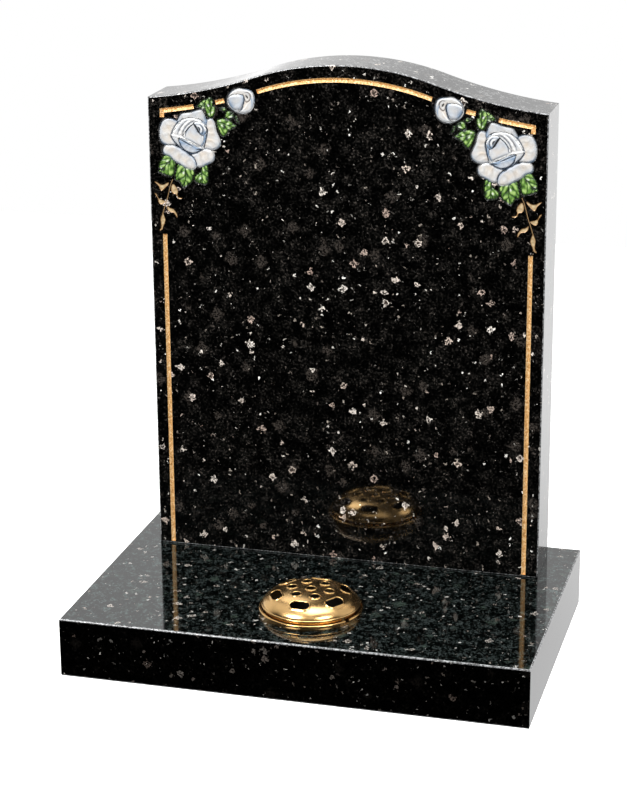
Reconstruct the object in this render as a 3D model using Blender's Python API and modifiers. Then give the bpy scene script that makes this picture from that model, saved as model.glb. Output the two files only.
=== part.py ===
"""Granite headstone with an ogee top, carved rose sprays, a base and a flower container with a pierced lid.

Units are metres, +Z is up and the front faces -Y. The origin is the centre of the base's underside.
"""
import math

import bmesh
import bpy
import numpy as np
from mathutils import Matrix

# Tablet
TABLET_WIDTH = 0.535
TABLET_THICKNESS = 0.080
SHOULDER_HEIGHT = 0.631
CROWN_RISE = 0.052
CROWN_SHARE = 0.45
SHOULDER_ANGLE = math.radians(6.0)
CROWN_STEPS = 18
SHOULDER_STEPS = 8
TABLET_ARRIS = 0.0015

# Base
BASE_WIDTH = 0.616
BASE_DEPTH = 0.400
BASE_HEIGHT = 0.080
BASE_ARRIS = 0.002
BACK_MARGIN = 0.035
FIT_GAP = 0.0003

# Gilded V-cut border line, measured from the tablet's edges to the middle of the cut
LINE_INSET = 0.0195
LINE_WIDTH = 0.006
LINE_DEPTH = 0.0025
LINE_FOOT = 0.003
LINE_SIDE_DROP = 0.185
LINE_LEG = 0.012
CROWN_LINE_HALF = 0.1175
SHORT_LINE_INNER = 0.160
SHORT_LINE_LENGTH = 0.013
SHOULDER_LINE_INNER = 0.2015
CUT_OVERRUN = 0.002

# Carved rose spray in each upper corner, from the shoulder corner to the middle of the rose
ROSE_WIDTH = 0.085
ROSE_INSET = 0.057
ROSE_DROP = 0.055
DRAWN_WIDTH = 85.0
POCKET_DEPTH = 0.0042
SPRIG_DEPTH = 0.0008
POCKET_MARGIN = 0.0010
CARVED_ROOT = 0.0070
ROOT_STEP = 0.0001
POCKET_STEPS = 40
OVAL_STEPS = 14
OVAL_POWER = 2.4
DOME_SHOULDER = 0.66
RIM_SHARE = 0.25

# Flower container, hung by its rim in a bore through the base
BORE_RADIUS = 0.057
CONTAINER_FROM_FACE = 0.176
CUP_RADIUS = 0.0552
CUP_DEPTH = 0.074
SHEET = 0.0012
RIM_RADIUS = 0.068
ROLL_RADIUS = 0.0018
ROLL_HEIGHT = 0.005
ROLL_STEPS = 8
NOTCH_WIDTH = 0.007
NOTCH_ANGLE = math.radians(-31.0)

# Pierced lid, lifting off the container's rim
LID_RADIUS = 0.063
LID_BEAD = 0.0015
LID_EDGE_HEIGHT = 0.012
LID_HEIGHT = 0.030
LID_SKIRT_RADIUS = 0.0626
DOME_POWER = 3.4
DOME_ROOT = 1.4
HOLE_RADIUS = 0.006
HOLE_RING_RADIUS = 0.0253
HOLE_COUNT = 6
HOLE_TURN = math.radians(-3.0)
SLOT_RING_RADIUS = 0.0457
SLOT_LENGTH = 0.026
SLOT_WIDTH = 0.013
SLOT_TURN = math.radians(27.0)
HOLE_STEPS = 10
ROUND_STEPS = 40

HALF_WIDTH = TABLET_WIDTH / 2
FACE_Y = BASE_DEPTH / 2 - BACK_MARGIN - TABLET_THICKNESS
TABLET_FOOT = BASE_HEIGHT + FIT_GAP
CONTAINER_Y = FACE_Y - CONTAINER_FROM_FACE
UNIT = ROSE_WIDTH / DRAWN_WIDTH

# Carved shapes as drawn beside an 85 mm rose: x towards the middle of the tablet, z up, from the rose's middle.
# Petals: middle x, z, half length, half width, turn in degrees, rim depth and crown depth below the face.
OUTER_PETALS = [
    (-26.0, 9.0, 18.5, 16.5, 80, 3.4, 1.7),
    (2.5, 24.0, 21.5, 16.0, 12, 3.2, 1.5),
    (27.0, 8.5, 21.0, 14.5, 105, 3.3, 1.6),
    (-15.5, -24.0, 25.0, 11.5, -28, 3.1, 1.4),
    (19.0, -22.5, 18.5, 12.5, 18, 3.5, 1.8),
]
INNER_PETALS = [
    (-5.5, 8.5, 23.0, 13.0, 48, 2.3, 1.2),
    (15.5, 7.0, 19.5, 9.0, 96, 2.4, 1.3),
    (2.5, -9.5, 18.0, 7.5, -20, 2.0, 1.0),
    (5.0, 5.5, 15.0, 11.5, -42, 1.5, 0.5),
    (13.5, 13.5, 9.5, 7.5, 40, 1.0, 0.3),
]
BUD = (71.4, 55.0, 17.8, 15.8, 8)
BUD_PETALS = [
    (77.0, 55.0, 15.5, 12.0, 85, 2.8, 1.3),
    (63.8, 55.0, 15.0, 10.0, 100, 2.2, 0.7),
]
# Leaves: base x, z, tip x, z, half width.
LEAVES = [
    (29.0, 30.0, 31.5, 58.5, 7.5),
    (26.0, 43.0, 10.0, 45.0, 4.5),
    (37.5, 27.0, 65.0, 20.0, 9.0),
    (49.5, 29.0, 60.0, 41.0, 5.0),
    (53.0, 45.0, 40.3, 48.5, 3.0),
    (61.5, 35.5, 69.6, 24.0, 2.8),
    (-24.0, -27.0, -44.7, -45.5, 11.0),
    (-8.0, -37.0, -9.7, -65.4, 12.0),
    (12.5, -34.5, 21.5, -60.0, 9.5),
]
LEAF_TEETH = 3
LEAF_RIM = 2.3
LEAF_CROWN = 0.7
# Gilded sprig: start x, z, bend x, z, tip x, z, half width, fullest place.
SPRIG = [
    (-24.9, -55.0, -31.0, -72.0, -38.7, -98.0, 0.7, 0.9),
    (-30.5, -60.0, -41.5, -72.5, -50.4, -59.0, 4.2, 1.0),
    (-26.0, -60.5, -21.5, -80.0, -12.0, -80.0, 4.6, 0.6),
    (-36.0, -86.0, -48.0, -90.0, -51.0, -75.0, 3.2, 0.7),
    (-34.0, -91.0, -21.5, -93.5, -20.0, -107.0, 3.0, 0.7),
    (-39.8, -100.5, -36.5, -113.0, -45.4, -126.0, 3.4, 0.7),
]
SPRIG_STEPS = 6


def clear_scene():
    """Remove every object that the scene holds."""
    for obj in list(bpy.data.objects):
        bpy.data.objects.remove(obj, do_unlink=True)


def collection(name):
    """A new collection under the scene's own."""
    made = bpy.data.collections.new(name)
    bpy.context.scene.collection.children.link(made)
    return made


def material(name, color, roughness, metallic):
    """A Principled material with one colour."""
    made = bpy.data.materials.new(name)
    made.use_nodes = True
    shader = made.node_tree.nodes["Principled BSDF"]
    shader.inputs["Base Color"].default_value = (*color, 1.0)
    shader.inputs["Roughness"].default_value = roughness
    shader.inputs["Metallic"].default_value = metallic
    return made


def add_object(name, mesh, home, guide=False):
    """An object for the mesh; a guide is a cutter or a carved shape that another object takes in."""
    obj = bpy.data.objects.new(name, mesh)
    home.objects.link(obj)
    if guide:
        obj.hide_render = True
        obj.display_type = "WIRE"
    return obj


def plate(name, outline, near_y, far_y):
    """A mesh from a closed outline in x and z, filled and carried straight from near_y to far_y."""
    return loft(name, [[(x, near_y, z) for x, z in outline], [(x, far_y, z) for x, z in outline]])


def close_mesh(mesh):
    """Weld a mesh's seams and turn its faces outwards."""
    work = bmesh.new()
    work.from_mesh(mesh)
    bmesh.ops.remove_doubles(work, verts=work.verts, dist=1e-6)
    bmesh.ops.recalc_face_normals(work, faces=work.faces)
    work.to_mesh(mesh)
    work.free()


def loft(name, rings, tip=None):
    """A closed mesh through rings of equal length; the last ring is capped, or drawn to the tip point."""
    count = len(rings[0])
    points = [tuple(p) for ring in rings for p in ring]
    faces = [tuple(range(count))]
    for k in range(len(rings) - 1):
        for i in range(count):
            j = (i + 1) % count
            faces.append((k * count + i, k * count + j, (k + 1) * count + j, (k + 1) * count + i))
    last = (len(rings) - 1) * count
    if tip is None:
        faces.append(tuple(range(last, last + count)))
    else:
        points.append(tuple(tip))
        faces += [(last + i, last + (i + 1) % count, len(points) - 1) for i in range(count)]
    mesh = bpy.data.meshes.new(name)
    mesh.from_pydata(points, [], faces)
    close_mesh(mesh)
    return mesh


def turned(name, profile, home):
    """A round object from a profile of radius and height, spun about Z by a Screw modifier."""
    mesh = bpy.data.meshes.new(name)
    points = [(radius, 0.0, height) for radius, height in profile]
    mesh.from_pydata(points, [(i, i + 1) for i in range(len(points) - 1)], [])
    obj = add_object(name, mesh, home)
    screw = obj.modifiers.new("turn", "SCREW")
    screw.steps = ROUND_STEPS
    screw.render_steps = ROUND_STEPS
    screw.use_merge_vertices = True
    screw.merge_threshold = 1e-5
    screw.use_smooth_shade = True
    return obj


def boolean(obj, kind, operands):
    """Cut or join every object of a collection."""
    modifier = obj.modifiers.new(kind.lower(), "BOOLEAN")
    modifier.operation = kind
    modifier.solver = "EXACT"
    modifier.operand_type = "COLLECTION"
    modifier.collection = operands


def crown_angle():
    """Slope angle where the crown's arc meets the shoulder's, found by halving the range that holds it."""
    reach = HALF_WIDTH * CROWN_SHARE
    low, high = SHOULDER_ANGLE, math.radians(60)
    for _ in range(60):
        middle = (low + high) / 2
        fall = reach * math.tan(middle / 2) + (HALF_WIDTH - reach) * math.tan((middle + SHOULDER_ANGLE) / 2)
        low, high = (middle, high) if fall < CROWN_RISE else (low, middle)
    return (low + high) / 2


def top_height(x, inset=0.0):
    """Height of the ogee's line above the shoulders at x, moved inwards by an inset."""
    angle = crown_angle()
    reach = HALF_WIDTH * CROWN_SHARE
    radius = reach / math.sin(angle)
    x = abs(x)
    if x <= (radius - inset) * math.sin(angle):
        return CROWN_RISE - radius + math.sqrt((radius - inset) ** 2 - x * x)
    join_height = CROWN_RISE - radius + radius * math.cos(angle)
    chord = math.hypot(HALF_WIDTH - reach, join_height)
    hollow = chord / (2 * math.sin((angle - SHOULDER_ANGLE) / 2))
    middle_x = reach + hollow * math.sin(angle)
    middle_z = join_height + hollow * math.cos(angle)
    return middle_z - math.sqrt((hollow + inset) ** 2 - (x - middle_x) ** 2)


def tablet_outline():
    """The tablet's front outline: flat foot, straight sides and the ogee top."""
    reach = HALF_WIDTH * CROWN_SHARE
    right = np.linspace(HALF_WIDTH, reach, SHOULDER_STEPS, endpoint=False)
    crown = np.linspace(reach, -reach, CROWN_STEPS + 1)
    xs = list(right) + list(crown) + list(-right[::-1])
    top = [(x, top_height(x)) for x in xs]
    return [(-HALF_WIDTH, -SHOULDER_HEIGHT), (HALF_WIDTH, -SHOULDER_HEIGHT)] + top


def groove(name, path, home):
    """A V-shaped cutter along a path of x, z points on the face, mitred where the path turns."""
    path = np.array(path, float)
    steps = np.diff(path, axis=0)
    steps /= np.linalg.norm(steps, axis=1)[:, None]
    sides = np.stack([-steps[:, 1], steps[:, 0]], 1)
    mitres = []
    for i in range(len(path)):
        before, after = sides[max(i - 1, 0)], sides[min(i, len(sides) - 1)]
        middle = (before + after) / np.linalg.norm(before + after)
        mitres.append(middle / np.dot(middle, before))
    half = LINE_WIDTH / 2 * (1 + CUT_OVERRUN / LINE_DEPTH)
    rings = []
    for (x, z), (u, w) in zip(path, mitres):
        rings.append([
            (x + u * half, -CUT_OVERRUN, z + w * half),
            (x - u * half, -CUT_OVERRUN, z - w * half),
            (x, LINE_DEPTH, z),
        ])
    add_object(name, loft(name, rings), home, guide=True)


def line_paths():
    """Paths of the border line on the right half: the short piece, the shoulder piece with its leg, the long side."""
    edge = HALF_WIDTH - LINE_INSET
    short_xs = np.linspace(SHORT_LINE_INNER, SHORT_LINE_INNER + SHORT_LINE_LENGTH, 3)
    shoulder_xs = np.linspace(SHOULDER_LINE_INNER, edge, 5)
    corner = top_height(edge, LINE_INSET)
    short = [(x, top_height(x, LINE_INSET)) for x in short_xs]
    shoulder = [(x, top_height(x, LINE_INSET)) for x in shoulder_xs]
    shoulder.append((edge, corner - LINE_LEG))
    return [short, shoulder, [(edge, LINE_FOOT - SHOULDER_HEIGHT), (edge, -LINE_SIDE_DROP)]]


def place(x, z):
    """Place, on the right half of the face, of a drawn point of the spray."""
    return HALF_WIDTH - ROSE_INSET - x * UNIT, z * UNIT - ROSE_DROP


def oval(middle_x, middle_z, long, short, turn, grow=0.0):
    """A rounded, slightly squared oval in drawn millimetres."""
    angle = np.linspace(0, 2 * math.pi, OVAL_STEPS, endpoint=False)
    bend = 2 / OVAL_POWER
    u = (long + grow) * np.sign(np.cos(angle)) * np.abs(np.cos(angle)) ** bend
    v = (short + grow) * np.sign(np.sin(angle)) * np.abs(np.sin(angle)) ** bend
    c, s = math.cos(math.radians(turn)), math.sin(math.radians(turn))
    return [(middle_x + c * a - s * b, middle_z + s * a + c * b) for a, b in zip(u, v)]


def rose_pocket():
    """The sunk ground round the rose: in each direction, as far as any outer petal reaches, plus the margin."""
    angles = np.linspace(0, 2 * math.pi, POCKET_STEPS, endpoint=False)
    reach = np.linspace(0, DRAWN_WIDTH, 600)
    margin = POCKET_MARGIN / UNIT
    outline = []
    for angle in angles:
        x, z = reach * math.cos(angle), reach * math.sin(angle)
        covered = np.zeros(len(reach), bool)
        for mid_x, mid_z, long, short, turn, _, _ in OUTER_PETALS:
            c, s = math.cos(math.radians(turn)), math.sin(math.radians(turn))
            u, v = c * (x - mid_x) + s * (z - mid_z), -s * (x - mid_x) + c * (z - mid_z)
            inside = np.abs(u / (long + margin)) ** OVAL_POWER + np.abs(v / (short + margin)) ** OVAL_POWER < 1
            covered |= inside
        far = reach[covered].max()
        outline.append((far * math.cos(angle), far * math.sin(angle)))
    return outline


def leaf_outline(base_x, base_z, tip_x, tip_z, half, grow=0.0):
    """A toothed leaf from its base to its tip, in drawn millimetres."""
    along = np.array([tip_x - base_x, tip_z - base_z])
    length = np.linalg.norm(along)
    along /= length
    across = np.array([-along[1], along[0]])
    start = np.array([base_x, base_z])
    left, right = [], []
    for tooth in range(LEAF_TEETH):
        for part, width in ((0.12, 0.80), (0.80, 1.12)):
            t = (tooth + part) / LEAF_TEETH
            w = half * width * math.sin(math.pi * t ** 0.8) ** 0.7 + grow
            left.append(start + along * length * t + across * w)
            right.append(start + along * length * t - across * w)
    tip = start + along * (length + grow)
    return [tuple(start - along * grow)] + [tuple(p) for p in right] + [tuple(tip)] + [tuple(p) for p in left[::-1]]


def curl_outline(x0, z0, x1, z1, x2, z2, half, full):
    """A slim curled leaf along a bend of three points, widest where full says, in drawn millimetres."""
    ends = [np.array(p, float) for p in ((x0, z0), (x1, z1), (x2, z2))]
    left, right = [], []
    for k in range(1, SPRIG_STEPS):
        t = k / SPRIG_STEPS
        point = (1 - t) ** 2 * ends[0] + 2 * t * (1 - t) * ends[1] + t * t * ends[2]
        along = (1 - t) * (ends[1] - ends[0]) + t * (ends[2] - ends[1])
        along /= np.linalg.norm(along)
        across = np.array([-along[1], along[0]])
        w = half * math.sin(math.pi * t ** full)
        left.append(tuple(point + across * w))
        right.append(tuple(point - across * w))
    return [tuple(ends[0])] + right + [tuple(ends[2])] + left[::-1]


def pocket(name, outline, depth, home):
    """A cutter with straight walls for a pocket of the given depth in the face."""
    placed = [place(x, z) for x, z in outline]
    add_object(name, plate(name, placed, -CUT_OVERRUN, depth), home, guide=True)


def dome(name, outline, root, rim, crown, home):
    """Walls along the outline from the root depth to the rim's, closed by a rounded cap that rises to its crown.

    With its root in the stone it is a petal to join; with its root in front of the face it cuts a leaf.
    """
    edge = np.array([place(x, z) for x, z in outline])
    middle = edge.mean(0)
    shoulder = middle + (edge - middle) * DOME_SHOULDER
    shoulder_y = (crown + (rim - crown) * RIM_SHARE) * UNIT
    rings = [
        [(x, root, z) for x, z in edge],
        [(x, rim * UNIT, z) for x, z in edge],
        [(x, shoulder_y, z) for x, z in shoulder],
    ]
    tip = (middle[0], crown * UNIT, middle[1])
    add_object(name, loft(name, rings, tip), home, guide=True)


def carve_spray(cuts, carved):
    """Cutters and carved bodies of one spray: rose, bud, leaves and sprig."""
    pocket("rose_ground", rose_pocket(), POCKET_DEPTH, cuts)
    pocket("bud_ground", oval(*BUD, grow=POCKET_MARGIN / UNIT), POCKET_DEPTH - 0.0006, cuts)
    for i, (x, z, long, short, turn, rim, crown) in enumerate(OUTER_PETALS + INNER_PETALS + BUD_PETALS):
        dome(f"petal_{i}", oval(x, z, long, short, turn), CARVED_ROOT + i * ROOT_STEP, rim, crown, carved)
    for i, leaf in enumerate(LEAVES):
        dome(f"leaf_{i}", leaf_outline(*leaf), -CUT_OVERRUN - i * ROOT_STEP, LEAF_RIM, LEAF_CROWN, cuts)
    for i, twig in enumerate(SPRIG):
        pocket(f"sprig_{i}", curl_outline(*twig), SPRIG_DEPTH + i * 0.00003, cuts)


def make_tablet(home, cuts, carved, stone):
    """The upright stone with its arris, border line and carved sprays.

    It and its cutters are drawn from the middle of the shoulder line on the front face.
    """
    mesh = plate("headstone_tablet", tablet_outline(), 0.0, TABLET_THICKNESS)
    tablet = add_object("headstone_tablet", mesh, home)
    tablet.data.materials.append(stone)
    arris = tablet.modifiers.new("arris", "BEVEL")
    arris.width = TABLET_ARRIS
    arris.segments = 1
    arris.limit_method = "ANGLE"
    arris.angle_limit = math.radians(40)
    crown_xs = np.linspace(-CROWN_LINE_HALF, CROWN_LINE_HALF, CROWN_STEPS + 1)
    crown_line = [(x, top_height(x, LINE_INSET)) for x in crown_xs]
    groove("line_crown", crown_line, cuts)
    for i, path in enumerate(line_paths()):
        groove(f"line_{i}", path, cuts)
    carve_spray(cuts, carved)
    for piece in [tablet, *cuts.objects, *carved.objects]:
        piece.location = (0.0, FACE_Y, TABLET_FOOT + SHOULDER_HEIGHT)
    boolean(tablet, "DIFFERENCE", cuts)
    boolean(tablet, "UNION", carved)
    halves = tablet.modifiers.new("halves", "MIRROR")
    halves.use_axis[0] = True
    halves.use_bisect_axis[0] = True
    halves.merge_threshold = 1e-5


def make_base(home, cuts, stone):
    """The base slab with its arris and the bore for the flower container."""
    bpy.ops.mesh.primitive_cube_add(size=1.0)
    base = bpy.context.active_object
    base.name = "headstone_base"
    base.data.transform(Matrix.Diagonal((BASE_WIDTH, BASE_DEPTH, BASE_HEIGHT, 1.0)))
    base.data.transform(Matrix.Translation((0, 0, BASE_HEIGHT / 2)))
    base.data.materials.append(stone)
    for owner in list(base.users_collection):
        owner.objects.unlink(base)
    home.objects.link(base)
    arris = base.modifiers.new("arris", "BEVEL")
    arris.width = BASE_ARRIS
    arris.segments = 1
    arris.limit_method = "ANGLE"
    bpy.ops.mesh.primitive_cylinder_add(vertices=ROUND_STEPS, radius=BORE_RADIUS, depth=BASE_HEIGHT * 2)
    bore = bpy.context.active_object
    bore.name = "bore"
    bore.data.transform(Matrix.Translation((0, CONTAINER_Y, BASE_HEIGHT / 2)))
    bore.hide_render = True
    bore.display_type = "WIRE"
    for owner in list(bore.users_collection):
        owner.objects.unlink(bore)
    cuts.objects.link(bore)
    boolean(base, "DIFFERENCE", cuts)


def container_profile():
    """Cup wall, flange and rolled rim, from the inside bottom over the rim to the outside bottom."""
    top = FIT_GAP
    inner = CUP_RADIUS - SHEET
    roll_x = RIM_RADIUS - ROLL_RADIUS
    wall_in = roll_x - SHEET / 2
    angles = np.linspace(math.pi, 0, ROLL_STEPS // 2 + 1)
    roll = [(roll_x + ROLL_RADIUS * math.cos(a), ROLL_HEIGHT + ROLL_RADIUS * math.sin(a)) for a in angles]
    foot = roll_x + SHEET / 2
    return (
        [(0.0, SHEET - CUP_DEPTH), (inner, SHEET - CUP_DEPTH), (inner, top + SHEET), (wall_in, top + SHEET)]
        + [(wall_in, ROLL_HEIGHT - ROLL_RADIUS * 0.8)]
        + roll
        + [(foot, ROLL_HEIGHT - ROLL_RADIUS * 0.8), (foot, top), (CUP_RADIUS, top)]
        + [(CUP_RADIUS, -CUP_DEPTH), (0.0, -CUP_DEPTH)]
    )


def dome_height(radius, edge, top, reach):
    """Height of the lid's dome: full in the middle, falling steeply to its edge."""
    share = max(0.0, 1 - (radius / reach) ** DOME_POWER)
    return edge + (top - edge) * share ** (1 / DOME_ROOT)


def lid_profile():
    """Dome, bead and skirt outside, from the top down, then the inside back up."""
    shares = [0.0, 0.3, 0.55, 0.72, 0.84, 0.92, 0.97, 1.0]
    outer = [(s * LID_RADIUS, dome_height(s * LID_RADIUS, LID_EDGE_HEIGHT, LID_HEIGHT, LID_RADIUS)) for s in shares]
    bead = [
        (LID_RADIUS + LID_BEAD, LID_EDGE_HEIGHT - LID_BEAD),
        (LID_SKIRT_RADIUS, LID_EDGE_HEIGHT - 2 * LID_BEAD),
    ]
    foot = FIT_GAP * 2 + SHEET
    within = LID_RADIUS - SHEET
    inner = [(s * within, dome_height(s * within, LID_EDGE_HEIGHT, LID_HEIGHT - SHEET, within)) for s in shares]
    skirt = [(LID_SKIRT_RADIUS, foot), (LID_SKIRT_RADIUS - SHEET, foot)]
    return outer + bead + skirt + inner[::-1]


def slot_outline():
    """A slot with round ends, lying along x."""
    half = (SLOT_LENGTH - SLOT_WIDTH) / 2
    radius = SLOT_WIDTH / 2
    right = np.linspace(-math.pi / 2, math.pi / 2, HOLE_STEPS // 2)
    ends = [(half + radius * math.cos(a), radius * math.sin(a)) for a in right]
    return ends + [(-x, -z) for x, z in ends]


def make_container(home, cuts, metal):
    """The hanging cup with its rolled rim and the notch in it."""
    cup = turned("flower_container", container_profile(), home)
    cup.data.materials.append(metal)
    cup.location = (0, CONTAINER_Y, BASE_HEIGHT)
    bpy.ops.mesh.primitive_cube_add(size=1.0)
    notch = bpy.context.active_object
    notch.name = "rim_notch"
    reach = RIM_RADIUS - ROLL_RADIUS
    height = ROLL_HEIGHT + ROLL_RADIUS
    low = FIT_GAP + SHEET * 1.5
    notch.data.transform(Matrix.Diagonal((ROLL_RADIUS * 6, NOTCH_WIDTH, height, 1.0)))
    notch.data.transform(Matrix.Translation((reach, 0, low + height / 2)))
    notch.data.transform(Matrix.Rotation(NOTCH_ANGLE, 4, "Z"))
    notch.location = cup.location
    notch.hide_render = True
    notch.display_type = "WIRE"
    for owner in list(notch.users_collection):
        owner.objects.unlink(notch)
    cuts.objects.link(notch)
    boolean(cup, "DIFFERENCE", cuts)


def make_lid(home, cuts, metal):
    """The pierced dome: seven round holes and six slots."""
    lid = turned("flower_lid", lid_profile(), home)
    lid.data.materials.append(metal)
    lid.location = (0, CONTAINER_Y, BASE_HEIGHT)
    low, high = LID_EDGE_HEIGHT, LID_HEIGHT * 1.5
    spots = [(0.0, 0.0)]
    for k in range(HOLE_COUNT):
        angle = HOLE_TURN + k * 2 * math.pi / HOLE_COUNT
        spots.append((HOLE_RING_RADIUS * math.cos(angle), HOLE_RING_RADIUS * math.sin(angle)))
    for i, (x, y) in enumerate(spots):
        bpy.ops.mesh.primitive_cylinder_add(vertices=HOLE_STEPS, radius=HOLE_RADIUS, depth=high - low)
        hole = bpy.context.active_object
        hole.name = f"hole_{i}"
        hole.data.transform(Matrix.Translation((x, y, (low + high) / 2)))
        for owner in list(hole.users_collection):
            owner.objects.unlink(hole)
        cuts.objects.link(hole)
    for k in range(HOLE_COUNT):
        angle = SLOT_TURN + k * 2 * math.pi / HOLE_COUNT
        mesh = plate(f"slot_{k}", slot_outline(), -(high - low) / 2, (high - low) / 2)
        mesh.transform(Matrix.Rotation(-math.pi / 2, 4, "X"))
        mesh.transform(Matrix.Translation((0, -SLOT_RING_RADIUS, (low + high) / 2)))
        mesh.transform(Matrix.Rotation(angle + math.pi / 2, 4, "Z"))
        add_object(f"slot_{k}", mesh, cuts, guide=True)
    for cutter in cuts.objects:
        cutter.location = lid.location
        cutter.hide_render = True
        cutter.display_type = "WIRE"
    boolean(lid, "DIFFERENCE", cuts)


def main():
    """Build the tablet, the base, the flower container and its lid."""
    clear_scene()
    home = collection("headstone")
    stone = material("granite", (0.022, 0.024, 0.024), 0.12, 0.0)
    base_stone = material("base_granite", (0.03, 0.036, 0.034), 0.14, 0.0)
    cup_metal = material("container_metal", (0.78, 0.53, 0.22), 0.25, 1.0)
    lid_metal = material("lid_metal", (0.80, 0.56, 0.25), 0.2, 1.0)
    make_tablet(home, collection("tablet_cutters"), collection("tablet_carving"), stone)
    make_base(home, collection("base_cutters"), base_stone)
    make_container(home, collection("container_cutters"), cup_metal)
    make_lid(home, collection("lid_cutters"), lid_metal)


main()
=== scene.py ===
"""Dressing of a granite headstone.

Polished stone, carved and painted rose sprays, a gilded line, a flower container and its pierced lid.
Metres, +Z up, front towards -Y, in the same frame as the solids.
"""

import math

import bmesh
import bpy
import numpy as np
from mathutils import Matrix, Vector
from mathutils.geometry import delaunay_2d_cdt


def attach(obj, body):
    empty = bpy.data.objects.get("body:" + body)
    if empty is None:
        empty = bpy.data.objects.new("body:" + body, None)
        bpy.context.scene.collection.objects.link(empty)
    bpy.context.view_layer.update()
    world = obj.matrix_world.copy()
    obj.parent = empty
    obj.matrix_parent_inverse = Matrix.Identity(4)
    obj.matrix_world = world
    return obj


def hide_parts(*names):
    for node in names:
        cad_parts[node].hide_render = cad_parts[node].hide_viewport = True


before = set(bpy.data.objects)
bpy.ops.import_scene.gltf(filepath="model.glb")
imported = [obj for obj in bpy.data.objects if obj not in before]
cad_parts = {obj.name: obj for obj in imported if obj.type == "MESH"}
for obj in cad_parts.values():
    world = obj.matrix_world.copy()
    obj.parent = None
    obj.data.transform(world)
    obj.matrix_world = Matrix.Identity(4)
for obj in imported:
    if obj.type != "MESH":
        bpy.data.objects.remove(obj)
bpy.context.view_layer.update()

# Meshes
WELD = 2e-6
SMALLEST = 1e-7

# Tablet
HALF_WIDTH = 0.2675
THICKNESS = 0.080
SHOULDER = 0.631
CROWN_RISE = 0.052
CROWN_SHARE = 0.45
SHOULDER_ANGLE = math.radians(6.0)
FOOT_Z = 0.0803
FACE_Y = 0.085
SHOULDER_Z = FOOT_Z + SHOULDER
ARRIS = 0.0015
ARRIS_STEPS = 4
SIDE_POINTS = 5
TOP_POINTS = 181

# Base
BASE_WIDTH = 0.616
BASE_DEPTH = 0.400
BASE_HEIGHT = 0.080
BASE_ARRIS = 0.002
BASE_SIDE_POINTS = 8
BORE = 0.057
BORE_POINTS = 96
CONTAINER_Y = -0.091

# Gilded line
LINE_INSET = 0.0195
LINE_HALF = 0.003
LINE_DEPTH = 0.0025
LINE_FOOT = 0.003
LINE_SIDE_DROP = 0.185
LINE_LEG = 0.0088
CROWN_LINE_HALF = 0.1165
SHORT_LINE = (0.1615, 0.1735)
SHOULDER_LINE_INNER = 0.2036

# Carved spray: middle of the rose from the shoulder corner, and the carving's grid
ROSE_IN = 0.057
ROSE_DOWN = 0.055
CELL = 0.00055
SPRAY_X = (-56.0, 93.0)
SPRAY_Z = (-129.0, 74.0)

# Carving, in millimetres
CUP_MIDDLE = (8.0, 8.0)
HEART = (6.0, 6.0)
PETAL_GROUND = 3.6
LEAF_GROUND = 2.2
DEEPEST_PETAL = 4.2
DEEPEST_CUT = 4.4
LEAF_TOOTH = 0.85
SPRIG_DEPTH = 0.8
STEM_HALF = 0.55

# Container
CUP_RADIUS = 0.0552
CUP_DEPTH = 0.074
CUP_BEND = 0.004
CUP_BEND_MIDDLE = 0.0012
CUP_POINTS = 168
SHEET = 0.0012
FIT = 0.0003
RIM_RADIUS = 0.068
ROLL = 0.0018
ROLL_HEIGHT = 0.005
ROLL_POINTS = 13
NOTCH_WIDTH = 0.007
NOTCH_ANGLE = math.radians(-31.0)
NOTCH_POINTS = 5

# Lid
LID_RADIUS = 0.063
LID_POINTS = 160
LID_RINGS = 26
LID_BEAD = 0.0015
LID_EDGE = 0.012
LID_TOP = 0.030
SKIRT_RADIUS = 0.0626
SKIRT_STEP = 0.0004
HOLE_RADIUS = 0.006
HOLE_RING = 0.0253
HOLE_TURN = math.radians(-3.0)
SLOT_RING = 0.0457
SLOT_LENGTH = 0.026
SLOT_WIDTH = 0.013
SLOT_TURN = math.radians(27.0)
OPENING_POINTS = 56
LIP_HEIGHT = 0.0012
LIP_REACH = 0.0021
LIP_START = 0.0007
LIP_OFFSETS = (0.0, 0.0004, 0.0009, 0.0015, 0.0021, 0.0028, 0.0036)
LIP_CLEAR = 0.0006

# Stage
FLOOR_HALF = 2.2
CAMERA_PLACE = (0.7066, -2.6332, 1.2423)
CAMERA_ANGLES = (math.radians(15.41), math.radians(17.30), math.radians(-0.43))
FOCAL_PIXELS = 2201.1
FRAME_HEIGHT = 800
SENSOR = 36

# Colours of the stone and the metals, as stops of place and colour where they are ramps
BLACK = (0.0, 0.0, 0.0)
WHITE = (1.0, 1.0, 1.0)
STONE_IOR = 1.6
GRAIN = [
    (0.44, (0.0002, 0.0002, 0.0002)), (0.53, (0.0012, 0.0012, 0.0011)), (0.60, (0.0072, 0.0067, 0.0060)),
    (0.67, (0.0240, 0.0210, 0.0185)), (0.78, (0.078, 0.066, 0.057)),
]
FLAKE = [
    (0.0, (0.42, 0.30, 0.25)), (0.3, (0.74, 0.62, 0.53)),
    (0.6, (0.92, 0.85, 0.77)), (1.0, (0.55, 0.44, 0.37)),
]
FLAKE_HEART = (0.06, 0.045, 0.036)
DIM_CRYSTAL = (0.050, 0.042, 0.036)
SPECK = [(0.0, (0.06, 0.05, 0.045)), (0.5, (0.30, 0.26, 0.22)), (1.0, (0.95, 0.93, 0.88))]
TINY_SPECK = [(0.0, (0.012, 0.011, 0.010)), (0.7, (0.05, 0.045, 0.04)), (1.0, (0.40, 0.38, 0.35))]
ARRIS_GREY = (0.55, 0.56, 0.57)
GILDING = [(0.30, (0.42, 0.21, 0.06)), (0.5, (0.74, 0.45, 0.18)), (0.68, (0.92, 0.74, 0.48))]
# Painted shade: near-black colours for the inside of the container and the underside of the lid.
INSIDE_SHADE = [(0.35, (0.006, 0.005, 0.004)), (0.7, (0.020, 0.015, 0.010))]

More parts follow.
